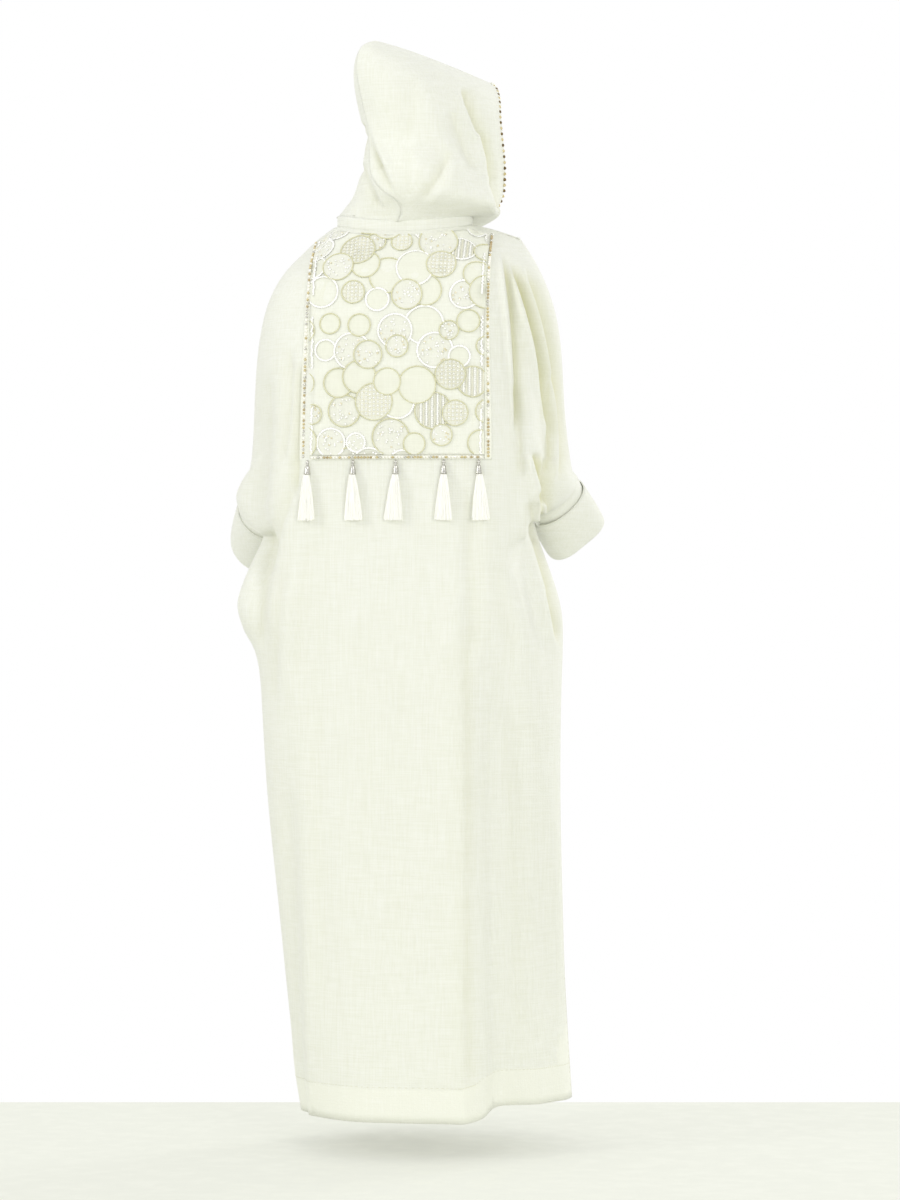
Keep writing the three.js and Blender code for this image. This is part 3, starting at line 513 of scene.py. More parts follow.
def press(bm, rows):
    """Moves the points of a layer along its normals, in a trough with a ridge beside it.

    The trough is steep on the ridge's side and runs out gently on the other. A fold fades out towards
    the seams, so that the pieces beside each other stay together. Each point also keeps a painted
    shade for the material, darkest in a deep fold's trough.
    """
    # painted shade: each point keeps how much shade to paint on it, for the cloth's material
    mark = bm.verts.layers.float.new("painted_fold_shade")
    bm.normal_update()
    bm.verts.ensure_lookup_table()
    seam = KDTree(len(bm.verts))
    for vert in bm.verts:
        if vert.is_boundary and vert.co.z > HEM_TOP * MM:
            seam.insert(vert.co, vert.index)
    seam.balance()
    from_seam = np.array([seam.find(v.co)[2] for v in bm.verts]) / MM
    seen = seen_from_behind([v.co for v in bm.verts])
    normals = [v.normal.copy() for v in bm.verts]
    moved, shade = np.zeros(len(seen)), np.zeros(len(seen))
    for row in rows:
        c, along, off = run_of(row, seen)
        away = -math.copysign(1, c["ridge"]) * off / c["wide"]  # in widths, positive away from the ridge
        ends = smoothstep(along / ENDS) * smoothstep((1 - along) / ENDS)
        trough = np.exp(-((away / np.where(away < 0, STEEP, GENTLE)) ** 2))
        ridge = np.exp(-(((away + RIDGE_OFF) / RIDGE_WIDE) ** 2))
        moved += ends * c["deep"] * (abs(c["ridge"]) * ridge - trough)
        # painted shade: darkest in the trough, gone quickly on the ridge's side and slowly on the other
        dark = np.where(
            away < 0, np.exp(-((away / SHADE_STEEP) ** 2)), np.exp(-np.maximum(away, 0) / SHADE_GENTLE)
        )
        shade = np.maximum(shade, ends * dark * (c["deep"] / FULLY_SHADED) ** 2)
    fade = smoothstep(from_seam / SEAM_FADE)
    moved *= fade
    shade = np.clip(shade, 0, 1) * fade
    for vert, normal, far, dark in zip(bm.verts, normals, moved, shade):
        vert.co += normal * float(far) * MM
        vert[mark] = float(dark)
    print("  pressed", len(rows), "folds, most", round(float(-moved.min()), 1), "mm in")
    return bm


def thickened(piece, thick):
    wall = piece.modifiers.new("wall", "SOLIDIFY")
    wall.thickness = thick * MM
    wall.offset = -1
    wall.use_even_offset = False
    return piece


# %% [markdown]
# The back and front are each cut in one with their sleeves. The main folds are in the solid already.
# These rows add the smaller ones: the drag lines from the shoulders to the forearms, the bunching
# over the cuffs, and the long soft flutes of the skirt.

# %% Back and front
THICK = 1.5
BACK_CREASES = [
    (168, -32, 191, -350, 11, 6, -0.6, 8),
    (180, -45, 250, -365, 13, 7, -0.6, 13),
    (204, -50, 264, -430, 11, 8, -0.5, 24),
    (190, -250, 200, -420, 6, 7, 0.5, 3),
    (222, -175, 232, -330, 6, 9, -0.5, 3),
    (250, -230, 247, -420, 9, 7, 0.5, 2),
    (219, -370, 238, -462, 13, 8, -0.6, 4),
    (242, -375, 246, -480, 10, 6, -0.6, 0),
    (232, -432, 247, -505, 10, 6, 0.6, -3),
    (214, -450, 226, -520, 7, 7, 0.5, 3),
    (240, -470, 262, -610, 7, 8, -0.6, 3),
    (212, -480, 266, -700, 9, 9, -0.5, 5),
    (150, -545, 190, -720, 3, 15, 0.5, 5),
    (-164, -215, -176, -455, 7, 9, 0.7, 0),
    (-174, -420, -224, -575, 5, 11, 0.6, -4),
    (-214, -470, -240, -705, 5, 12, -0.6, -5),
    (-186, -190, -200, -400, 5, 10, 0.6, 5),
    (-226, -230, -236, -470, 4, 12, 0.5, 8),
    (-196, -560, -214, -800, 4, 14, 0.5, -4),
    (-150, -500, -176, -760, 3, 15, -0.4, -4),
    (-122, -440, -140, -760, 2, 15, 0.5, 4),
    (112, -420, 116, -720, 4, 16, -0.5, 0),
    (108, -640, 113, -1120, 5, 18, 0.5, 3),
    (111, -1050, 118, -1440, 5, 18, 0.5, -2),
    (-3, -560, 0, -1300, 2, 22, 0.6, 4),
    (-136, -700, -128, -1300, 2.5, 20, 0.5, -5),
    (-60, -600, -70, -1150, 2, 20, -0.6, 4),
    (58, -560, 50, -1080, 2, 18, 0.5, -4),
    (168, -780, 192, -1400, 3, 18, -0.6, 6),
    (-190, -900, -176, -1400, 2.5, 17, 0.5, 3),
]
FRONT_CREASES = [
    (-112, -150, -172, -520, 8, 13, 0.6, 8),
    (114, -160, 178, -520, 8, 13, -0.6, -8),
    (-60, -200, -84, -580, 5, 14, 0.6, 5),
    (50, -220, 68, -620, 5, 14, -0.6, 5),
    (0, -260, 6, -820, 4, 16, 0.6, 6),
    (-150, -120, -214, -420, 6, 11, 0.6, 6),
    (156, -130, 222, -420, 6, 11, -0.6, -6),
    (-112, -620, -122, -1300, 6, 15, 0.6, 5),
    (90, -620, 106, -1340, 6, 15, -0.6, -5),
    (-30, -720, -36, -1400, 5, 16, 0.6, 4),
    (40, -780, 50, -1420, 5, 16, -0.6, 4),
    (-172, -740, -160, -1380, 5, 14, 0.6, -4),
    (162, -740, 178, -1380, 5, 14, -0.6, 4),
]
NARROW = 9  # folds up to this width need finer faces
narrow = [row for row in BACK_CREASES if row[CREASE.index("wide")] <= NARROW]
back = press(finer_near(subdivided(layer_of("back"), 2), narrow), BACK_CREASES)
print("back", count(back))
front = press(subdivided(layer_of("front"), 2), FRONT_CREASES)
print("front", count(front))

# %% [markdown]
# The hem is turned up and the slits are faced, and each is held by a row of small stitches at an even
# distance from the edge. The cloth is double inside that row, so its points are marked for the
# material, which lets less light through there and paints a little shade on it. A look-up tree over
# each layer finds where a stitch lies on it, and the back's tree serves the yoke and the tapes later.

# %% Turned-up hem and its stitches
HEM = {"deep": 58, "slit": 9}
SLIT_TOP = -1250
UPRIGHT = 0.6  # the rise of an edge that runs down a slit rather than along the hem
STITCH = {"share": 0.3, "longest": 4.0, "proud": 0.15, "radius": 0.35}
back_tree = BVHTree.FromBMesh(back)
front_tree = BVHTree.FromBMesh(front)


def along_the_edge(bm, tree, inset, chosen):
    """A short stitch beside each chosen edge of a layer, at an even distance in from it."""
    made = []
    for edge in bm.edges:
        if len(edge.link_faces) != 1:
            continue
        a, b = (v.co for v in edge.verts)
        middle, along = (a + b) / 2, (b - a).normalized()
        if not chosen(middle, along):
            continue
        point, normal = tree.find_nearest(middle - away_from_face(edge) * inset * MM)[:2]
        half = along * min(edge.calc_length() * STITCH["share"], STITCH["longest"] * MM / 2)
        proud = point + normal * STITCH["proud"] * MM
        made.append([proud - half, proud + half])
    return made


def mark_turn_up(bm):
    """Marks the points within the hem's turn-up, for the material."""
    mark = bm.verts.layers.float.new("turned_up")
    hem = KDTree(len(bm.verts))
    for vert in bm.verts:
        if vert.is_boundary and vert.co.z < HEM_TOP * MM:
            hem.insert(vert.co, 0)
    hem.balance()
    for vert in bm.verts:
        vert[mark] = 1.0 if hem.find(vert.co)[2] < HEM["deep"] * MM else 0.0


def along_hem(middle, way):
    return middle.z < HEM_TOP * MM and abs(way.z) < UPRIGHT


def down_a_slit(middle, way):
    return middle.z < SLIT_TOP * MM and abs(way.z) > UPRIGHT


stitch_rows = []
for layer, tree in ((back, back_tree), (front, front_tree)):
    mark_turn_up(layer)
    stitch_rows += along_the_edge(layer, tree, HEM["deep"], along_hem)
    stitch_rows += along_the_edge(layer, tree, HEM["slit"], down_a_slit)
print("hem stitches", len(stitch_rows))

# %% [markdown]
# Where two pieces are sewn, the cloth goes on a little under its neighbour, as a seam allowance does,
# so that no light shows through the seam. A sleeve goes further: it runs on inside the cuff, whose
# inner rim is sewn to it out of sight under the turned-back layer.

# %% Seam allowances, and sleeves that end inside the cuffs
SEAM_ALLOWANCE = 4.0
UNDER = {"back": 1.8, "front": 2.4, "band": 2.2}  # how far under its neighbour an allowance dips
NECK_HALF, NECK_LOW = 128, -60  # the neckline lies within and above these
AT_CUFF = {"near": 7, "along": 0.15}  # how near the cuff, and how nearly the edge faces down the arm
TUCK = {"near": 7, "deep": 15}
OVER_CUFF = [  # how far on and how far in each step of a sleeve's end goes
    (6.0, -1.0),
    (6.0, -0.8),
    (6.0, -0.3),
    (6.0, 0.3),
    (5.0, 0.6),
]


def at_shoulder_or_side(middle):
    """Seams from the neck to the cuffs, and down the sides to the slits. The neckline and hem aren't."""
    at_neck = abs(middle.x) < NECK_HALF * MM and middle.z > NECK_LOW * MM
    return not at_neck and middle.z > SLIT_TOP * MM


free_edges = [
    (e.verts[0].co + e.verts[1].co) / 2 for layer in (back, front) for e in layer.edges if e.is_boundary
]
cuff_rings, cuff_walls = [], []
for node in ("cuff_left", "cuff_right"):
    ring = merged(node)
    middle = sum((v.co for v in ring.verts), Vector()) / len(ring.verts)
    ring_tree = BVHTree.FromBMesh(ring)
    sleeve_end = [m for m in free_edges if ring_tree.find_nearest(m)[3] < AT_CUFF["near"] * MM]
    arm = (middle - sum(sleeve_end, Vector()) / len(sleeve_end)).normalized()
    cuff_rings.append((ring_tree, arm))
    ends = KDTree(len(sleeve_end))
    for number, place in enumerate(sleeve_end):
        ends.insert(place, number)
    ends.balance()
    tucked = [v for v in ring.verts if ends.find(v.co)[2] < TUCK["near"] * MM]
    for vert in tucked:
        vert.co += arm * TUCK["deep"] * MM
    cuff_walls.append(with_sharp_rims(ring))
    print("  tucked", len(tucked), "of", len(ring.verts), "corners of the inner rim out of sight")
    print(node, "faces down the arm along", [round(c, 2) for c in arm])


def into_a_cuff(middle, away):
    """The end of a sleeve, which goes on inside the cuff's turned-back layer."""
    return any(
        tree.find_nearest(middle)[3] < AT_CUFF["near"] * MM and away.dot(arm) > AT_CUFF["along"]
        for tree, arm in cuff_rings
    )


def down_the_arm(place):
    return min(cuff_rings, key=lambda ring: ring[0].find_nearest(place)[3])[1]


def beside_a_seam(middle, away):
    return at_shoulder_or_side(middle) and not into_a_cuff(middle, away)


for layer, deep in ((back, UNDER["back"]), (front, UNDER["front"])):
    with_allowance(layer, SEAM_ALLOWANCE, deep, beside_a_seam)
    for wide, inwards in OVER_CUFF:
        with_allowance(layer, wide, inwards, into_a_cuff, down_the_arm)
back_piece = finish_mesh("back_cloth", back, cloth_finish)
front_piece = finish_mesh("front_cloth", front, cloth_finish)
thread_finish = grained("sewing thread", ("#DFDFC8", "#E9E9D6"), 0.6, (0.8, 0.8), 0.4)
stitches = tubes("hem_stitches", stitch_rows, STITCH["radius"], thread_finish)
for piece, node in ((back_piece, "back"), (front_piece, "front")):
    thickened(piece, THICK)
    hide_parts(node)

# %% [markdown]
# The cuffs are strips folded back on themselves, and the hood is two halves on a narrow band. They
# are made the same way, and the hood gets folds of its own. The solid's hood sags sharply over the neck seam.
# Real crepe hangs there in one soft curve, so the points that face the camera's side are drawn towards
# their neighbours again and again, while the edges stay where they are sewn.

# %% Cuffs, neck band and hood
HOOD_CREASES = [
    (-70, 190, -28, 92, 9, 6, 0.8, 0),
    (-34, 104, -6, 40, 7, 6, 0.7, 0),
    (-70, 120, -36, 36, 6, 6, 0.6, 0),
    (102, 248, 138, 156, 9, 8, -0.6, -3),
    (133, 176, 150, 78, 11, 7, -0.7, 2),
    (145, 98, 168, 34, 9, 7, -0.6, 0),
    (84, 208, 126, 100, 5, 9, 0.5, -3),
    (86, 138, 34, 46, 6, 9, 0.5, 4),
    (14, 128, 12, 48, 3, 9, 0.5, 0),
    (20, 262, 8, 140, 3, 18, 0.4, 4),
    (64, 150, 70, 60, 3, 12, 0.5, 0),
]
HOOD_SOFT = {"high": 120, "over": 50, "facing": 0.45, "step": 0.5, "times": 260}  # from this height down


def hang_smoothly(bm):
    """Lets out the sharp sag over the neck seam, and leaves the edges and the outline as they are."""
    bm.normal_update()
    bm.verts.ensure_lookup_table()
    points = np.array([v.co for v in bm.verts])
    faces_us = np.array([v.normal.dot(TO_CAMERA) for v in bm.verts])
    share = smoothstep((HOOD_SOFT["high"] - points[:, 2] / MM) / HOOD_SOFT["over"])
    share *= smoothstep(faces_us / HOOD_SOFT["facing"]) * np.array([not v.is_boundary for v in bm.verts])
    ends = np.array([[v.index for v in e.verts] for e in bm.edges])
    one, other = ends[:, 0], ends[:, 1]
    beside = np.bincount(ends.ravel(), minlength=len(points))[:, None]
    for _ in range(HOOD_SOFT["times"]):
        total = np.zeros_like(points)
        for k in range(3):
            total[:, k] = np.bincount(one, points[other, k], len(points))
            total[:, k] += np.bincount(other, points[one, k], len(points))
        points += HOOD_SOFT["step"] * share[:, None] * (total / beside - points)
    for vert, place in zip(bm.verts, points):
        vert.co = place
    return bm


cuff_left = finish_mesh("cuff_cloth_left", subdivided(cuff_walls[0], 2), cloth_finish)
cuff_right = finish_mesh("cuff_cloth_right", subdivided(cuff_walls[1], 2), cloth_finish)
band_layer = with_allowance(subdivided(layer_of("neck_band"), 3), SEAM_ALLOWANCE, UNDER["band"])
band = finish_mesh("neck_band_cloth", band_layer, cloth_finish)
hood_right_layer = press(hang_smoothly(subdivided(layer_of("hood_right"), 3)), HOOD_CREASES)
hood_right = finish_mesh("hood_cloth_right", hood_right_layer, cloth_finish)
hood_left_layer = press(hang_smoothly(subdivided(layer_facing_out("hood_left"), 3)), HOOD_CREASES)
hood_left = finish_mesh("hood_cloth_left", hood_left_layer, cloth_finish)
for piece, node in (
    (cuff_left, "cuff_left"),
    (cuff_right, "cuff_right"),
    (band, "neck_band"),
    (hood_right, "hood_right"),
    (hood_left, "hood_left"),
):
    if not node.startswith("cuff"):
        thickened(piece, THICK)
    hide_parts(node)
    print(piece.name, len(piece.data.polygons), "faces")

# %% [markdown]
# The yoke is a rectangle of the same cloth, laid on the back and covered with overlapping round
# patches. Everything on it is drawn flat first, as millimetres across and down from its upper middle,
# and then wrapped on its surface: a ray towards a line inside the shoulders finds each place.

# %% The yoke's cloth, and how flat things are wrapped on it
YOKE_THICK = 1.2
YOKE_SUNK = 0.4  # how far the yoke's cloth lies under its solid's face, so that the patches stand proud
PIVOT_UP = -0.10  # the height of a line inside the shoulders
REACH = 0.6
TURN_BACK = math.radians(0.5)
INSET = 0.6 * MM
SIDE_COLUMN = -0.13  # a column beside the neck, where the back reaches up to the shoulder seam
LEVEL_ROW = 0.08
STEPS = {"across": 80, "degrees": 75, "down": 60}  # how finely the flat lengths are measured
yoke_layer = subdivided(layer_of("yoke"), 2)
for vert in yoke_layer.verts:
    vert.co -= vert.normal * YOKE_SUNK * MM
yoke_tree = BVHTree.FromBMesh(yoke_layer)
yoke_low, yoke_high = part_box("yoke")


def ray_to_back(x, turn, down):
    """The back's surface at an angle above level, or below the pivot at a depth under it."""
    way = Vector((0, -math.cos(turn), -math.sin(turn)))
    return back_tree.ray_cast(Vector((x, 0, PIVOT_UP - down)) - way * REACH, way)[0]


def lengths_along(points):
    steps = [0.0] + [(b - a).length for a, b in zip(points, points[1:])]
    return np.cumsum(steps) / MM


x_steps = np.linspace(yoke_low.x + INSET, yoke_high.x - INSET, STEPS["across"])
across_at = lengths_along([ray_to_back(x, 0, LEVEL_ROW) for x in x_steps])
across_at -= np.interp(0, x_steps, across_at)
turn_steps = [math.radians(d) for d in range(STEPS["degrees"])]
upper = [p for p in (ray_to_back(SIDE_COLUMN, t, 0) for t in turn_steps) if p is not None]
upper = [p for p in upper if p.z < yoke_high.z]
lower_depth = np.linspace(0, PIVOT_UP - yoke_low.z - INSET, STEPS["down"])
lower_at = lengths_along([ray_to_back(SIDE_COLUMN, 0, d) for d in lower_depth])
upper_at = lengths_along(upper)
NECK_DOWN = float(upper_at[-1])  # how far the pivot's level is below the yoke's top
YOKE_FLAT = {
    "left": -float(across_at[-1]),
    "right": -float(across_at[0]),
    "down": NECK_DOWN + float(lower_at[-1]),
}
print("yoke, flat:", {k: round(v) for k, v in YOKE_FLAT.items()})


def on_yoke(across, down):
    """Point, normal and distance off the yoke of a flat place. Across is the right as seen from behind."""
    x = float(np.interp(-across, across_at, x_steps))
    if down < NECK_DOWN:
        turn = float(np.interp(NECK_DOWN - down, upper_at, turn_steps[: len(upper)]))
        guess = ray_to_back(x, turn, 0)
        while guess is None:
            turn -= TURN_BACK
            guess = ray_to_back(x, turn, 0)
    else:
        guess = ray_to_back(x, 0, float(np.interp(down - NECK_DOWN, lower_at, lower_depth)))
    return yoke_tree.find_nearest(guess)[:2] + (guess,)


def wrap(bm):
    """Takes each vertex from flat (across, down, height) in millimetres to its place on the yoke."""
    for vert in bm.verts:
        across, down, height = vert.co
        point, normal, _ = on_yoke(across, down)
        vert.co = point + normal * height * MM
    return bm


satin_finish = crepe_linen("yoke crepe", "#F3F4E6", "#FBFCF2", 0.3)
yoke = finish_mesh("yoke_cloth", yoke_layer, satin_finish)
thickened(yoke, YOKE_THICK)
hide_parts("yoke")

# %% [markdown]
# The round patches are laid out in staggered rows and nudged by a seeded chance, so that they overlap
# unevenly. Each has an outline, of gold cord or of sequins, and a filling: plain, scattered sequins,
# upright stripes or a grid. A drawn texture would look flat from the side, and real ones catch light.

# %% The layout of the round patches
PATCH = {"pitch": 47, "least": 15, "most": 33, "nudge": 12, "sides": 40, "step": 0.014}
PATCH_BASE = 0.15  # the lowest patch, above the yoke's cloth
STAGGER = {"start": 0.1, "odd_rows": 0.5}  # in pitches
MORE_LARGE = 0.8  # a power under one makes the large patches a little more frequent
OUTLINES = ["cord"] * 3 + ["sequins"] * 2
FILLINGS = ["plain"] * 3 + ["scattered"] * 2 + ["stripes", "grid"]
chance = random.Random(11)


def patch_layout():
    """Centres, radii and kinds of the patches, the ones that lie on top last."""
    patches = []
    rows = int(YOKE_FLAT["down"] // PATCH["pitch"]) + 2
    columns = int((YOKE_FLAT["right"] - YOKE_FLAT["left"]) // PATCH["pitch"]) + 2
    for row in range(rows):
        for column in range(columns):
            shift = STAGGER["odd_rows"] * (row % 2) - STAGGER["start"]
            across = YOKE_FLAT["left"] + (column + shift) * PATCH["pitch"]
            across += chance.uniform(-1, 1) * PATCH["nudge"]
            down = (row + STAGGER["start"]) * PATCH["pitch"] + chance.uniform(-1, 1) * PATCH["nudge"]
            radius = PATCH["least"] + (PATCH["most"] - PATCH["least"]) * chance.random() ** MORE_LARGE
            outline = chance.choice(OUTLINES)
            filling = chance.choice(FILLINGS)
            patches.append((across, down, radius, outline, filling))
    chance.shuffle(patches)
    return patches


patches = patch_layout()
over_patches = PATCH_BASE + PATCH["step"] * len(patches)  # cords and sequins lie at this height
print("patches", len(patches))

# %% [markdown]
# Only what shows is sewn. A place on a patch is left bare where another patch covers it or where the
# yoke ends, so a cord is cut into the runs between, and a sequin there isn't made at all.

# %% What shows of a patch
EDGE = 1  # no sequin or cord lies nearer to the yoke's edge than this
OFF_EDGE = 2.6
UNDER_RIM = 0.5


def off_the_yoke(across, down):
    within = YOKE_FLAT["left"] + EDGE < across < YOKE_FLAT["right"] - EDGE
    if not within or not 0 < down < YOKE_FLAT["down"] - EDGE:
        return True
    if down > NECK_DOWN:
        return False
    point, _, guess = on_yoke(across, down)
    return (point - guess).length > OFF_EDGE * MM


def covered(spot, above):
    """True if a flat place is off the yoke or under a patch that lies above."""
    across, down = spot
    hidden = any(
        (across - a) ** 2 + (down - d) ** 2 < (r - UNDER_RIM) ** 2 for a, d, r, _, _ in patches[above:]
    )
    return hidden or off_the_yoke(across, down)


def visible_runs(spots, above, height):
    """The stretches of a flat line that nothing covers, as rows of places on the yoke."""
    runs, run = [], []
    for spot in spots:
        if covered(spot, above):
            runs.append(run)
            run = []
        else:
            point, normal, _ = on_yoke(*spot)
            run.append(point + normal * height * MM)
    return [r for r in runs + [run] if len(r) > 1]


def circle(across, down, radius, steps):
    turns = np.linspace(0, 2 * math.pi, steps + 1)
    return [(across + radius * math.cos(t), down + radius * math.sin(t)) for t in turns]


def chords(radius, pitch):
    """Parallel lines across a circle: how far off its middle each is, and half its length."""
    for side in np.arange(-radius + pitch, radius - pitch / 2, pitch):
        yield side, math.sqrt(radius**2 - side**2)


# %% [markdown]
# A sequin is a small cone cut flat, tilted by chance so that a few of them glint at a time. Eight
# sides are enough at its size. The stripes alternate a cord with a row of sequins, and the grid has a
# sequin in each of its squares.

# %% Sequins and fillings
CORD = {"radius": 1.15, "stripe": 0.8, "grid": 0.55, "sits": 0.3}
SEQUIN = {"radius": 2.1, "pitch": 3.2, "high": 0.35, "sides": 8, "top": 0.8, "tilt": 0.2}
LIFT = {"outline": 0.4, "filling": 0.3, "border": 0.5}  # how far above the patches sequins lie
SMALLER = {"filling": 0.85, "grid": 0.7}  # times the radius
SCATTER = {"each": 0.9, "within": 0.84, "kinds": ["pearl"] * 4 + ["gold"]}
RIM_IN = 1  # a filling ends this far inside its patch's outline
STRIPE_PITCH = 4.6
GRID = 6.6
stripes, grids = [], []


def add_sequin(bm, spot, radius, height):
    made = bmesh.ops.create_cone(
        bm,
        cap_ends=True,
        segments=SEQUIN["sides"],
        radius1=radius,
        radius2=radius * SEQUIN["top"],
        depth=SEQUIN["high"],
    )
    about_x = Matrix.Rotation(chance.uniform(-SEQUIN["tilt"], SEQUIN["tilt"]), 4, "X")
    about_y = Matrix.Rotation(chance.uniform(-SEQUIN["tilt"], SEQUIN["tilt"]), 4, "Y")
    place = Matrix.Translation((*spot, over_patches + height))
    bmesh.ops.transform(bm, matrix=place @ about_x @ about_y, verts=made["verts"])


def add_uncovered(bm, spots, above, radius, height):
    for spot in spots:
        if not covered(spot, above):
            add_sequin(bm, spot, radius, height)


def scattered(few, across, down, radius, above):
    for _ in range(int(radius * SCATTER["each"])):
        t, r = chance.uniform(0, 2 * math.pi), radius * SCATTER["within"] * math.sqrt(chance.random())
        spot = (across + r * math.cos(t), down + r * math.sin(t))
        if not covered(spot, above):
            kind = chance.choice(SCATTER["kinds"])
            add_sequin(few[kind], spot, SEQUIN["radius"] * SMALLER["filling"], LIFT["filling"])


def striped(few, across, down, radius, above):
    for number, (side, half) in enumerate(chords(radius - RIM_IN, STRIPE_PITCH)):
        line = [(across + side, down + along) for along in np.arange(-half, half, SEQUIN["pitch"])]
        if number % 2:
            add_uncovered(few["pearl"], line, above, SEQUIN["radius"] * SMALLER["filling"], LIFT["filling"])
        else:
            stripes.extend(visible_runs(line, above, over_patches))


def gridded(few, across, down, radius, above):
    for side, half in chords(radius - RIM_IN, GRID):
        steps = np.arange(-half, half, GRID / 2)
        grids.extend(visible_runs([(across + side, down + along) for along in steps], above, over_patches))
        grids.extend(visible_runs([(across + along, down + side) for along in steps], above, over_patches))
        middles = np.arange(-half + GRID / 2, half - GRID / 2, GRID)
        spots = [(across + side + GRID / 2, down + along) for along in middles]
        add_uncovered(few["pearl"], spots, above, SEQUIN["radius"] * SMALLER["grid"], LIFT["filling"])


FILL = {"scattered": scattered, "stripes": striped, "grid": gridded}

# %% The patches themselves
RINGS = (0.3, 0.35)  # two rings set in, in radii, so that a patch has points enough to bend with the back


def disc(across, down, radius, height):
    made = bmesh.new()
    bmesh.ops.create_circle(made, cap_ends=True, segments=PATCH["sides"], radius=radius)
    for share in RINGS:
        middle = [f for f in made.faces if len(f.verts) == PATCH["sides"]]
        bmesh.ops.inset_region(made, faces=middle, thickness=radius * share)
    bmesh.ops.poke(made, faces=[f for f in made.faces if len(f.verts) == PATCH["sides"]])
    bmesh.ops.translate(made, verts=made.verts, vec=(across, down, height))
    return made


patch_cloth = {"plain": bmesh.new(), "other": bmesh.new()}
sequins = {"pearl": bmesh.new(), "gold": bmesh.new()}
outlines = []
for number, (across, down, radius, outline, filling) in enumerate(patches):
    kind = "plain" if filling == "plain" else "other"
    append(patch_cloth[kind], disc(across, down, radius, PATCH_BASE + PATCH["step"] * number))
    above = number + 1
    few = {kind: bmesh.new() for kind in sequins}
    if outline == "cord":
        rim = circle(across, down, radius, 2 * PATCH["sides"])
        outlines += visible_runs(rim, above, over_patches + CORD["radius"] * CORD["sits"])
    else:
        rim = circle(across, down, radius, int(2 * math.pi * radius / SEQUIN["pitch"]))[1:]
        add_uncovered(few["pearl"], rim, above, SEQUIN["radius"], LIFT["outline"])
    if filling in FILL:
        FILL[filling](few, across, down, radius, above)
    for kind, bm in few.items():
        append(sequins[kind], bm)
print("outlines", len(outlines), "stripes", len(stripes), "grid lines", len(grids))

# %% [markdown]
# Inside each side of the yoke runs a line of sequins that breaks off here and there, where two waves
# of different lengths dip together.

# %% Broken lines of sequins
BORDER = {"in": 6.5, "pitch": 0.9, "nudge": 1.2}
WAVES = {"long": 21, "short": 9, "share": 0.6, "gap": -0.35}
for side in (YOKE_FLAT["left"] + BORDER["in"], YOKE_FLAT["right"] - BORDER["in"]):
    edging = bmesh.new()
    for down in np.arange(0, YOKE_FLAT["down"], SEQUIN["pitch"] * BORDER["pitch"]):
        wave = math.sin(down / WAVES["long"] + side) + WAVES["share"] * math.sin(down / WAVES["short"])
        if wave >= WAVES["gap"] and not off_the_yoke(side, down):
            spot = (side + chance.uniform(-BORDER["nudge"], BORDER["nudge"]), down)
            add_sequin(edging, spot, SEQUIN["radius"], LIFT["border"])
    print("a side has", len(edging.verts) // (2 * SEQUIN["sides"]), "sequins")
    append(sequins["pearl"], edging)

# %% [markdown]
# The patches are crepe and a smoother satin, so the satin's relief is half as strong. The outlines are
# twisted cord of metallised thread: its fibres break the shine up, so it looks nearly matt. Sequins
# are punched from pearly plastic film, which is smooth and has a clear skin.

# %% The finishes of what is on the yoke
plain_finish = crepe_linen("satin patch", "#F1F2E2", "#F8F9EB", 0.15)
mesh_finish = crepe_linen("crepe patch", "#F1F2E4", "#F8F8EE", 0.4)
cord_finish = grained("gold cord", ("#CFCDA2", "#E5E4C8"), 0.75, (1.6, 1.6), 0.8)
pale_cord_finish = grained("pale gold cord", ("#E6E4CA", "#F4F2E2"), 0.75, (1.6, 1.6), 0.8)
pearl_finish = grained("pearl sequins", ("#F6F6F0", "#FFFFFC"), 0.15, (5.0, 5.0), 0.3, Coat_Weight=0.6)
gold_sequins = grained("gold sequins", ("#DDD5AE", "#F0EAD0"), 0.25, (4.0, 4.0), 0.3)
on_the_yoke = []
for name, bm, finish, slot in (
    ("patches_plain", patch_cloth["plain"], plain_finish, "yoke"),
    ("patches_crepe", patch_cloth["other"], mesh_finish, "yoke"),
    ("sequins_pearl", sequins["pearl"], pearl_finish, "beads"),
    ("sequins_gold", sequins["gold"], gold_sequins, "beads"),
):
    made = finish_mesh(name, wrap(bm), finish)
    on_the_yoke.append(made)
    print(name, len(made.data.polygons), "faces")
for name, runs, radius, finish in (
    ("patch_outlines", outlines, CORD["radius"], cord_finish),
    ("patch_stripes", stripes, CORD["stripe"], pale_cord_finish),
    ("patch_grids", grids, CORD["grid"], pale_cord_finish),
):
    made = tubes(name, runs, radius, finish)
    on_the_yoke.append(made)
    print(name, len(made.data.polygons), "faces")

# %% [markdown]
# A narrow tape with beads runs down both sides of the yoke and along its bottom, and round the face.
# Its beads are threaded along its middle. The strip's own faces don't say where that is, so fans of
# parallel rays are sent at it, and the middle of each fan's hits is one place on the line.

# %% The middle line of a tape
FAN = {"step": 2.5 * MM, "rays": 61, "far": 0.5, "half": 0.06, "turns": 240}
TAPE_WIDE = 16
LOOP_GAP = 20  # places further apart than this belong to different parts of the tape


def half_as_thick(bm, inside):
    """Brings the far side of a tape's wall halfway in. The shortest edge of a corner goes through it."""
    through = {v: min(v.link_edges, key=lambda e: e.calc_length()).other_vert(v) for v in bm.verts}
    for vert, other in through.items():
        if (vert.co - other.co).dot(vert.co - inside(vert.co)) > 0:
            vert.co = (vert.co + other.co) / 2
    return bm


def middle_line(tree, fans):
    """The middle point and normal of a strip at each fan of parallel rays that hits it."""
    line = []
    for fan in fans:
        hits = [h for h in (tree.ray_cast(start, way) for start, way in fan) if h[0]]
        if hits:
            nearest = min(hits, key=lambda h: h[3])
            hits = [h for h in hits if (h[0] - nearest[0]).length < TAPE_WIDE * MM]
            middle = sum((h[0] for h in hits), Vector()) / len(hits)
            normal = sum((h[1] for h in hits), Vector()).normalized()
            line.append((middle, normal))
    return line


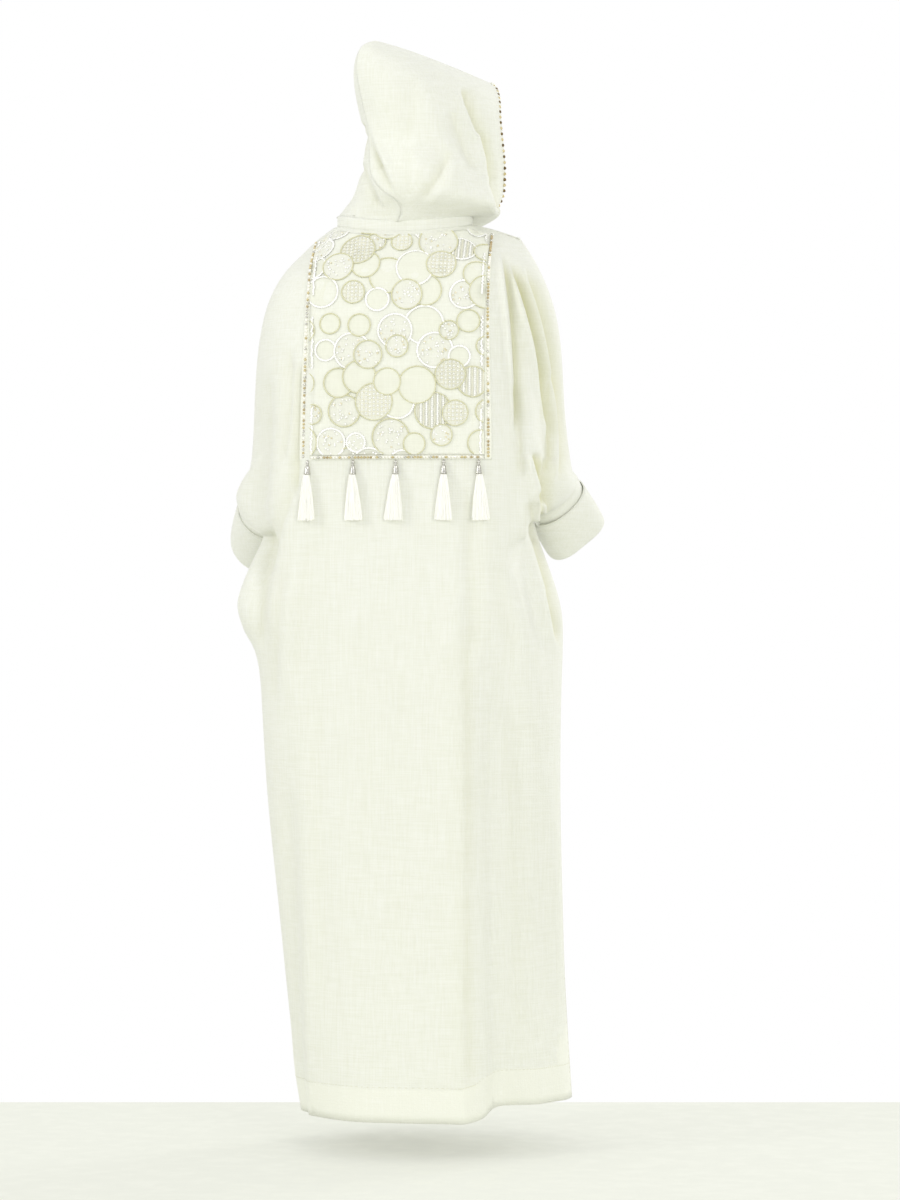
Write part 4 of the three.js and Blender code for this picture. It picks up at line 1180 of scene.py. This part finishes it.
def fans_at(node, corners):
    """Fans of rays that look for a tape: level ones for the sides, upright for the bottom, and for the
    tape round the face ones that turn about the middle of its loop."""
    low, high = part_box(node)
    if node == "tape_hood":
        middle = (low + high) / 2
        spread = np.linalg.svd(corners - corners.mean(0), full_matrices=False)[2]
        first, second, axis = (Vector(row) for row in spread)
        for turn in np.linspace(0, 2 * math.pi, FAN["turns"], endpoint=False):
            out = first * math.cos(turn) + second * math.sin(turn)
            yield [
                (middle + out * FAN["far"] + axis * off, -out)
                for off in np.linspace(-FAN["half"], FAN["half"], FAN["rays"])
            ]
        return
    upright = node == "tape_bottom"
    run, spans = ((low.x, high.x), (low.z, high.z)) if upright else ((low.z, high.z), (low.x, high.x))
    for step in np.arange(*run, FAN["step"]):
        places = [(step, off) if upright else (off, step) for off in np.linspace(*spans, FAN["rays"])]
        yield [(Vector((x, FAN["far"], z)), Vector((0, -1, 0))) for x, z in places]


def evened(line, times):
    """A closed line with its small zigzags averaged out."""
    places = np.array([list(p) + list(n) for p, n in line])
    for _ in range(times):
        places = (2 * places + np.roll(places, 1, axis=0) + np.roll(places, -1, axis=0)) / 4
    return [(Vector(row[:3]), Vector(row[3:]).normalized()) for row in places]


def spaced(line, pitch):
    """Places along a line at an even pitch, with the direction of the line."""
    at = lengths_along([p for p, _ in line])
    for s in np.arange(pitch / 2, at[-1], pitch):
        k = min(int(np.searchsorted(at, s)), len(line) - 1)
        (p0, n0), (p1, n1) = line[k - 1], line[k]
        if (p1 - p0).length > LOOP_GAP * MM:
            continue
        t = (s - at[k - 1]) / max(at[k] - at[k - 1], TINY)
        yield p0.lerp(p1, t), n0.lerp(n1, t).normalized(), (p1 - p0).normalized()


# %% [markdown]
# The beads are glass, some lined with gold or pearl, some opaque tan, and some metal. A round bead of
# eight sides and six rings looks round at two millimetres. Beside the yoke their order is left to the
# seeded chance, as in a string of mixed beads, and round the face dark bronze and gold take turns.

# %% Tapes and beads
TAPES = {
    "tape_left": {"radius": 2.3, "pitch": 6.0},
    "tape_right": {"radius": 2.3, "pitch": 6.0},
    "tape_bottom": {"radius": 2.2, "pitch": 5.2},
    "tape_hood": {"radius": 3.3, "pitch": 9.6},
}
BEAD = {"sides": 8, "rings": 6, "sits": 0.8, "long_on_hood": 0.85}
EVENED = 20  # how many times the zigzags of the hood's line are averaged
MIXED_BEADS = ["gold", "tan", "silver", "pearl", "pearl"]


def add_bead(bm, point, normal, way, radius, long=1.0):
    made = bmesh.ops.create_uvsphere(
        bm, u_segments=BEAD["sides"], v_segments=BEAD["rings"], radius=radius * MM
    )
    sideways = normal.cross(way).normalized()
    turn = Matrix((sideways, normal, way)).transposed().to_4x4()
    place = Matrix.Translation(point + normal * radius * BEAD["sits"] * MM) @ turn
    bmesh.ops.transform(bm, matrix=place @ Matrix.Diagonal((1, 1, long, 1)), verts=made["verts"])


beads = {kind: bmesh.new() for kind in ("gold", "tan", "dark", "silver", "pearl")}
tape_finish = grained("beading tape", ("#EDEEDF", "#F6F7EC"), 0.85, (0.9, 0.9), 0.9)
tapes, bead_pieces = {}, {}
for node, size in TAPES.items():
    on_hood = node == "tape_hood"
    low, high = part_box(node)
    inside = (lambda p: (low + high) / 2) if on_hood else (lambda p: back_tree.find_nearest(p)[0])
    strip = half_as_thick(merged(node), inside)
    corners = np.array([v.co for v in strip.verts])
    line = middle_line(BVHTree.FromBMesh(strip), fans_at(node, corners))
    if on_hood:
        line = evened(line, EVENED)
    print(node, "places", len(line), "length", round(float(lengths_along([p for p, _ in line])[-1])))
    for k, (point, normal, way) in enumerate(spaced(line, size["pitch"])):
        if on_hood:
            kind, long = "dark" if k % 2 else "gold", BEAD["long_on_hood"]
        else:
            kind, long = chance.choice(MIXED_BEADS), 1.0
        add_bead(beads[kind], point, normal, way, size["radius"], long)
    piece = finish_mesh(node + "_cloth", subdivided(with_sharp_rims(strip), 2), tape_finish)
    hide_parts(node)
    tapes[node] = piece
bead_finishes = {
    "gold": grained("gold beads", ("#C7B684", "#DDD0A6"), 0.3, (3.0, 3.0), 0.2, 0.4),
    "tan": grained("tan beads", ("#AE9A70", "#C8B891"), 0.35, (3.0, 3.0), 0.2),
    "pearl": grained("pearl beads", ("#F4F1E6", "#FDFBF4"), 0.2, (3.0, 3.0), 0.1, Coat_Weight=0.5),
    "dark": grained("bronze beads", ("#54411F", "#8A713F"), 0.35, (3.0, 3.0), 0.2, 0.6),
    "silver": grained("silver beads", ("#CBC9C2", "#E2E0DA"), 0.22, (3.0, 3.0), 0.2, 1.0),
}
for kind, bm in beads.items():
    made = finish_mesh("beads_" + kind, bm, bead_finishes[kind])
    bead_pieces[kind] = made
    print(made.name, len(made.data.polygons), "faces")

# %% [markdown]
# The narrow strip over the nape covers the end of the hood's seam. It is cut thinner than the rest, so
# that it doesn't stand up under the hood.

# %% Nape strip
NAPE_THICK = 1.0
nape = finish_mesh("nape_strip", subdivided(layer_of("nape_tab"), 2), cloth_finish)
thickened(nape, NAPE_THICK)
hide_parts("nape_tab")

# %% [markdown]
# Five tassels hang from the yoke's lower edge. Each has a bead and a bell of silver, turned from one
# profile, and a skirt of silk threads. The cap's own axis comes from its solid. The silver is cast:
# bright, but a little uneven, so it glints in patches.

# %% Caps
# Each profile gives radius and height, from the top down.
BALL = [(0.0, 0.0), (1.3, -0.3), (2.5, -1.9), (2.8, -4.0), (2.5, -6.1), (1.3, -7.8)]
SHOULDER = [(1.9, -8.2), (1.9, -8.9), (3.3, -10.0), (3.9, -12.2), (3.7, -12.8), (4.3, -15.5)]
BELL = [(4.6, -19.0), (5.3, -22.2), (5.6, -23.2), (5.3, -24.0), (4.5, -23.6), (0.0, -21.0)]
CAP_TURN = {"steps": 20, "top": 0.6, "bottom": 1.5, "join": 0.01}
silver_finish = grained("cast silver", ("#B9B7AF", "#D6D5CF"), 0.3, (1.8, 2.6), 0.5, 1.0)


def axis_of(node):
    """The middles of a solid's top and bottom, from its corners within a little of each."""
    points = np.array([v.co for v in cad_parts[node].data.vertices])
    top = points[points[:, 2] > points[:, 2].max() - CAP_TURN["top"] * MM].mean(0)
    bottom = points[points[:, 2] < points[:, 2].min() + CAP_TURN["bottom"] * MM].mean(0)
    return Vector(top), Vector(bottom)


hangers = {}
for number in range(1, 6):
    top, bottom = axis_of(f"cap_{number}")
    turned = bmesh.new()
    ring = [turned.verts.new((r * MM, 0, z * MM)) for r, z in BALL + SHOULDER + BELL]
    rail = [turned.edges.new(pair) for pair in zip(ring, ring[1:])]
    bmesh.ops.spin(
        turned,
        geom=ring + rail,
        cent=(0, 0, 0),
        axis=(0, 0, 1),
        angle=2 * math.pi,
        steps=CAP_TURN["steps"],
        use_merge=True,
    )
    bmesh.ops.remove_doubles(turned, verts=turned.verts, dist=CAP_TURN["join"] * MM)
    bmesh.ops.recalc_face_normals(turned, faces=turned.faces)
    down = (bottom - top).normalized()
    tilt = Vector((0, 0, -1)).rotation_difference(down).to_matrix().to_4x4()
    bmesh.ops.transform(turned, matrix=Matrix.Translation(top) @ tilt, verts=turned.verts)
    cap = finish_mesh(f"silver_cap_{number}", turned, silver_finish)
    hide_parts(f"cap_{number}")
    hangers[number] = bottom
    print(cap.name, len(cap.data.polygons), "faces")

# %% [markdown]
# A tassel's threads are tied in a head under the bell and spread a little as they fall. Each thread
# is a thin tube with few sides and a bend and a wave of its own. One solid skirt would be lighter,
# but the ragged end and the gaps between the threads are what makes it a tassel.

# %% Tassels
# painted light: the silk glows a little, in place of light that bounces among its threads
SILK_PAINTED_GLOW = 0.2  # light that bounces among the threads, which are too fine to carry it one by one
SILK_SHEER = 0.45  # the share of the light that the threads pass on
THREADS = {"count": 170, "radius": 0.5, "long": 76, "shorter": 5, "steps": 7}
SPREAD = {"root": 4.6, "wide": 15.0, "out": 7.5, "power": 0.75}  # how a skirt opens from its head
SWAY = {"lean": 3, "most": 1.4, "turn": 2.6}  # of a whole tassel, of one thread, and how a thread waves
silk_finish = grained("silk thread", ("#FAF9F4", "#FFFFFE"), 0.35, (2.2, 40.0), 0.1, Sheen_Weight=0.3)
silk_tree = silk_finish.node_tree
silk_shader = silk_tree.nodes["Principled BSDF"]
let_light_through(silk_tree, silk_shader, SILK_SHEER, "#FFFFFC")
# painted light: a faint white glow on the tassels
silk_shader.inputs["Emission Color"].default_value = linear("#FFFFFC")
silk_shader.inputs["Emission Strength"].default_value = SILK_PAINTED_GLOW


def back_faces(x, z):
    """The way that the back's cloth faces at a place across and up, looking from behind."""
    return back_tree.ray_cast(Vector((x, 1.0, z)), Vector((0, -1, 0)))[1]


def opened(to, t):
    """How far a skirt has opened at a share of its length."""
    return SPREAD["root"] + (SPREAD[to] - SPREAD["root"]) * t ** SPREAD["power"]


for number, bottom in hangers.items():
    low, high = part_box(f"tassel_{number}")
    beside = back_faces(bottom.x, bottom.z)
    out = Vector((beside.x, beside.y, 0)).normalized()
    sideways = Vector((out.y, -out.x, 0))
    start = Vector(((low.x + high.x) / 2, (low.y + high.y) / 2, high.z))
    lean, runs = chance.uniform(-SWAY["lean"], SWAY["lean"]), []
    for _ in range(THREADS["count"]):
        angle, spread = chance.uniform(0, 2 * math.pi), math.sqrt(chance.random())
        sway = chance.uniform(-SWAY["most"], SWAY["most"])
        length = THREADS["long"] - chance.uniform(0, THREADS["shorter"])
        run = []
        for t in np.linspace(0, 1, THREADS["steps"]):
            wave = sway * math.sin(SWAY["turn"] * t + angle) * t + lean * t
            place = sideways * (math.cos(angle) * spread * opened("wide", t) + wave)
            place += out * math.sin(angle) * spread * opened("out", t)
            run.append(start + (place + Vector((0, 0, -length * t))) * MM)
        runs.append(run)
    tassel = tubes(f"silk_tassel_{number}", runs, THREADS["radius"], silk_finish)
    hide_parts(f"tassel_{number}")
    print(tassel.name, len(tassel.data.polygons), "faces")

# %% [markdown]
# The floor is a plain painted sheet that ends a little behind the garment, where the white room
# begins. It glows a little, in place of the many lamps that wash out shadows in a studio.

# %% Floor
FLOOR = {"level": -1.535, "behind": 0.49, "near": 4.5, "wide": 3.0}
FLOOR_GLOW = 0.55
floor_mesh = bmesh.new()
bmesh.ops.create_grid(floor_mesh, x_segments=1, y_segments=1, size=0.5)
reach = FLOOR["near"] + FLOOR["behind"]
bmesh.ops.scale(floor_mesh, verts=floor_mesh.verts, vec=(2 * FLOOR["wide"], reach, 1))
bmesh.ops.translate(
    floor_mesh, verts=floor_mesh.verts, vec=(0, FLOOR["near"] - reach / 2, FLOOR["level"])
)
facing_camera = Matrix.Rotation(AZIMUTH - math.pi, 3, "Z")
bmesh.ops.rotate(floor_mesh, verts=floor_mesh.verts, matrix=facing_camera)
floor_data = bpy.data.meshes.new("floor")
floor_mesh.to_mesh(floor_data)
floor_mesh.free()
floor = bpy.data.objects.new("floor", floor_data)
bpy.context.scene.collection.objects.link(floor)
floor_finish = grained("studio floor", ("#9B9D94", "#9C9E96"), 0.8, (40.0, 40.0), 0.02)
floor_shader = floor_finish.node_tree.nodes["Principled BSDF"]
floor_shader.inputs["Emission Color"].default_value = linear("#ECEDE3")
floor_shader.inputs["Emission Strength"].default_value = FLOOR_GLOW
floor_data.materials.append(floor_finish)
print("floor", FLOOR)

# %% [markdown]
# All the beads but the dark bronze ones join the list of the pieces that lie on the yoke.

# %% Pieces on the yoke
on_the_yoke += [made for kind, made in bead_pieces.items() if kind != "dark"]
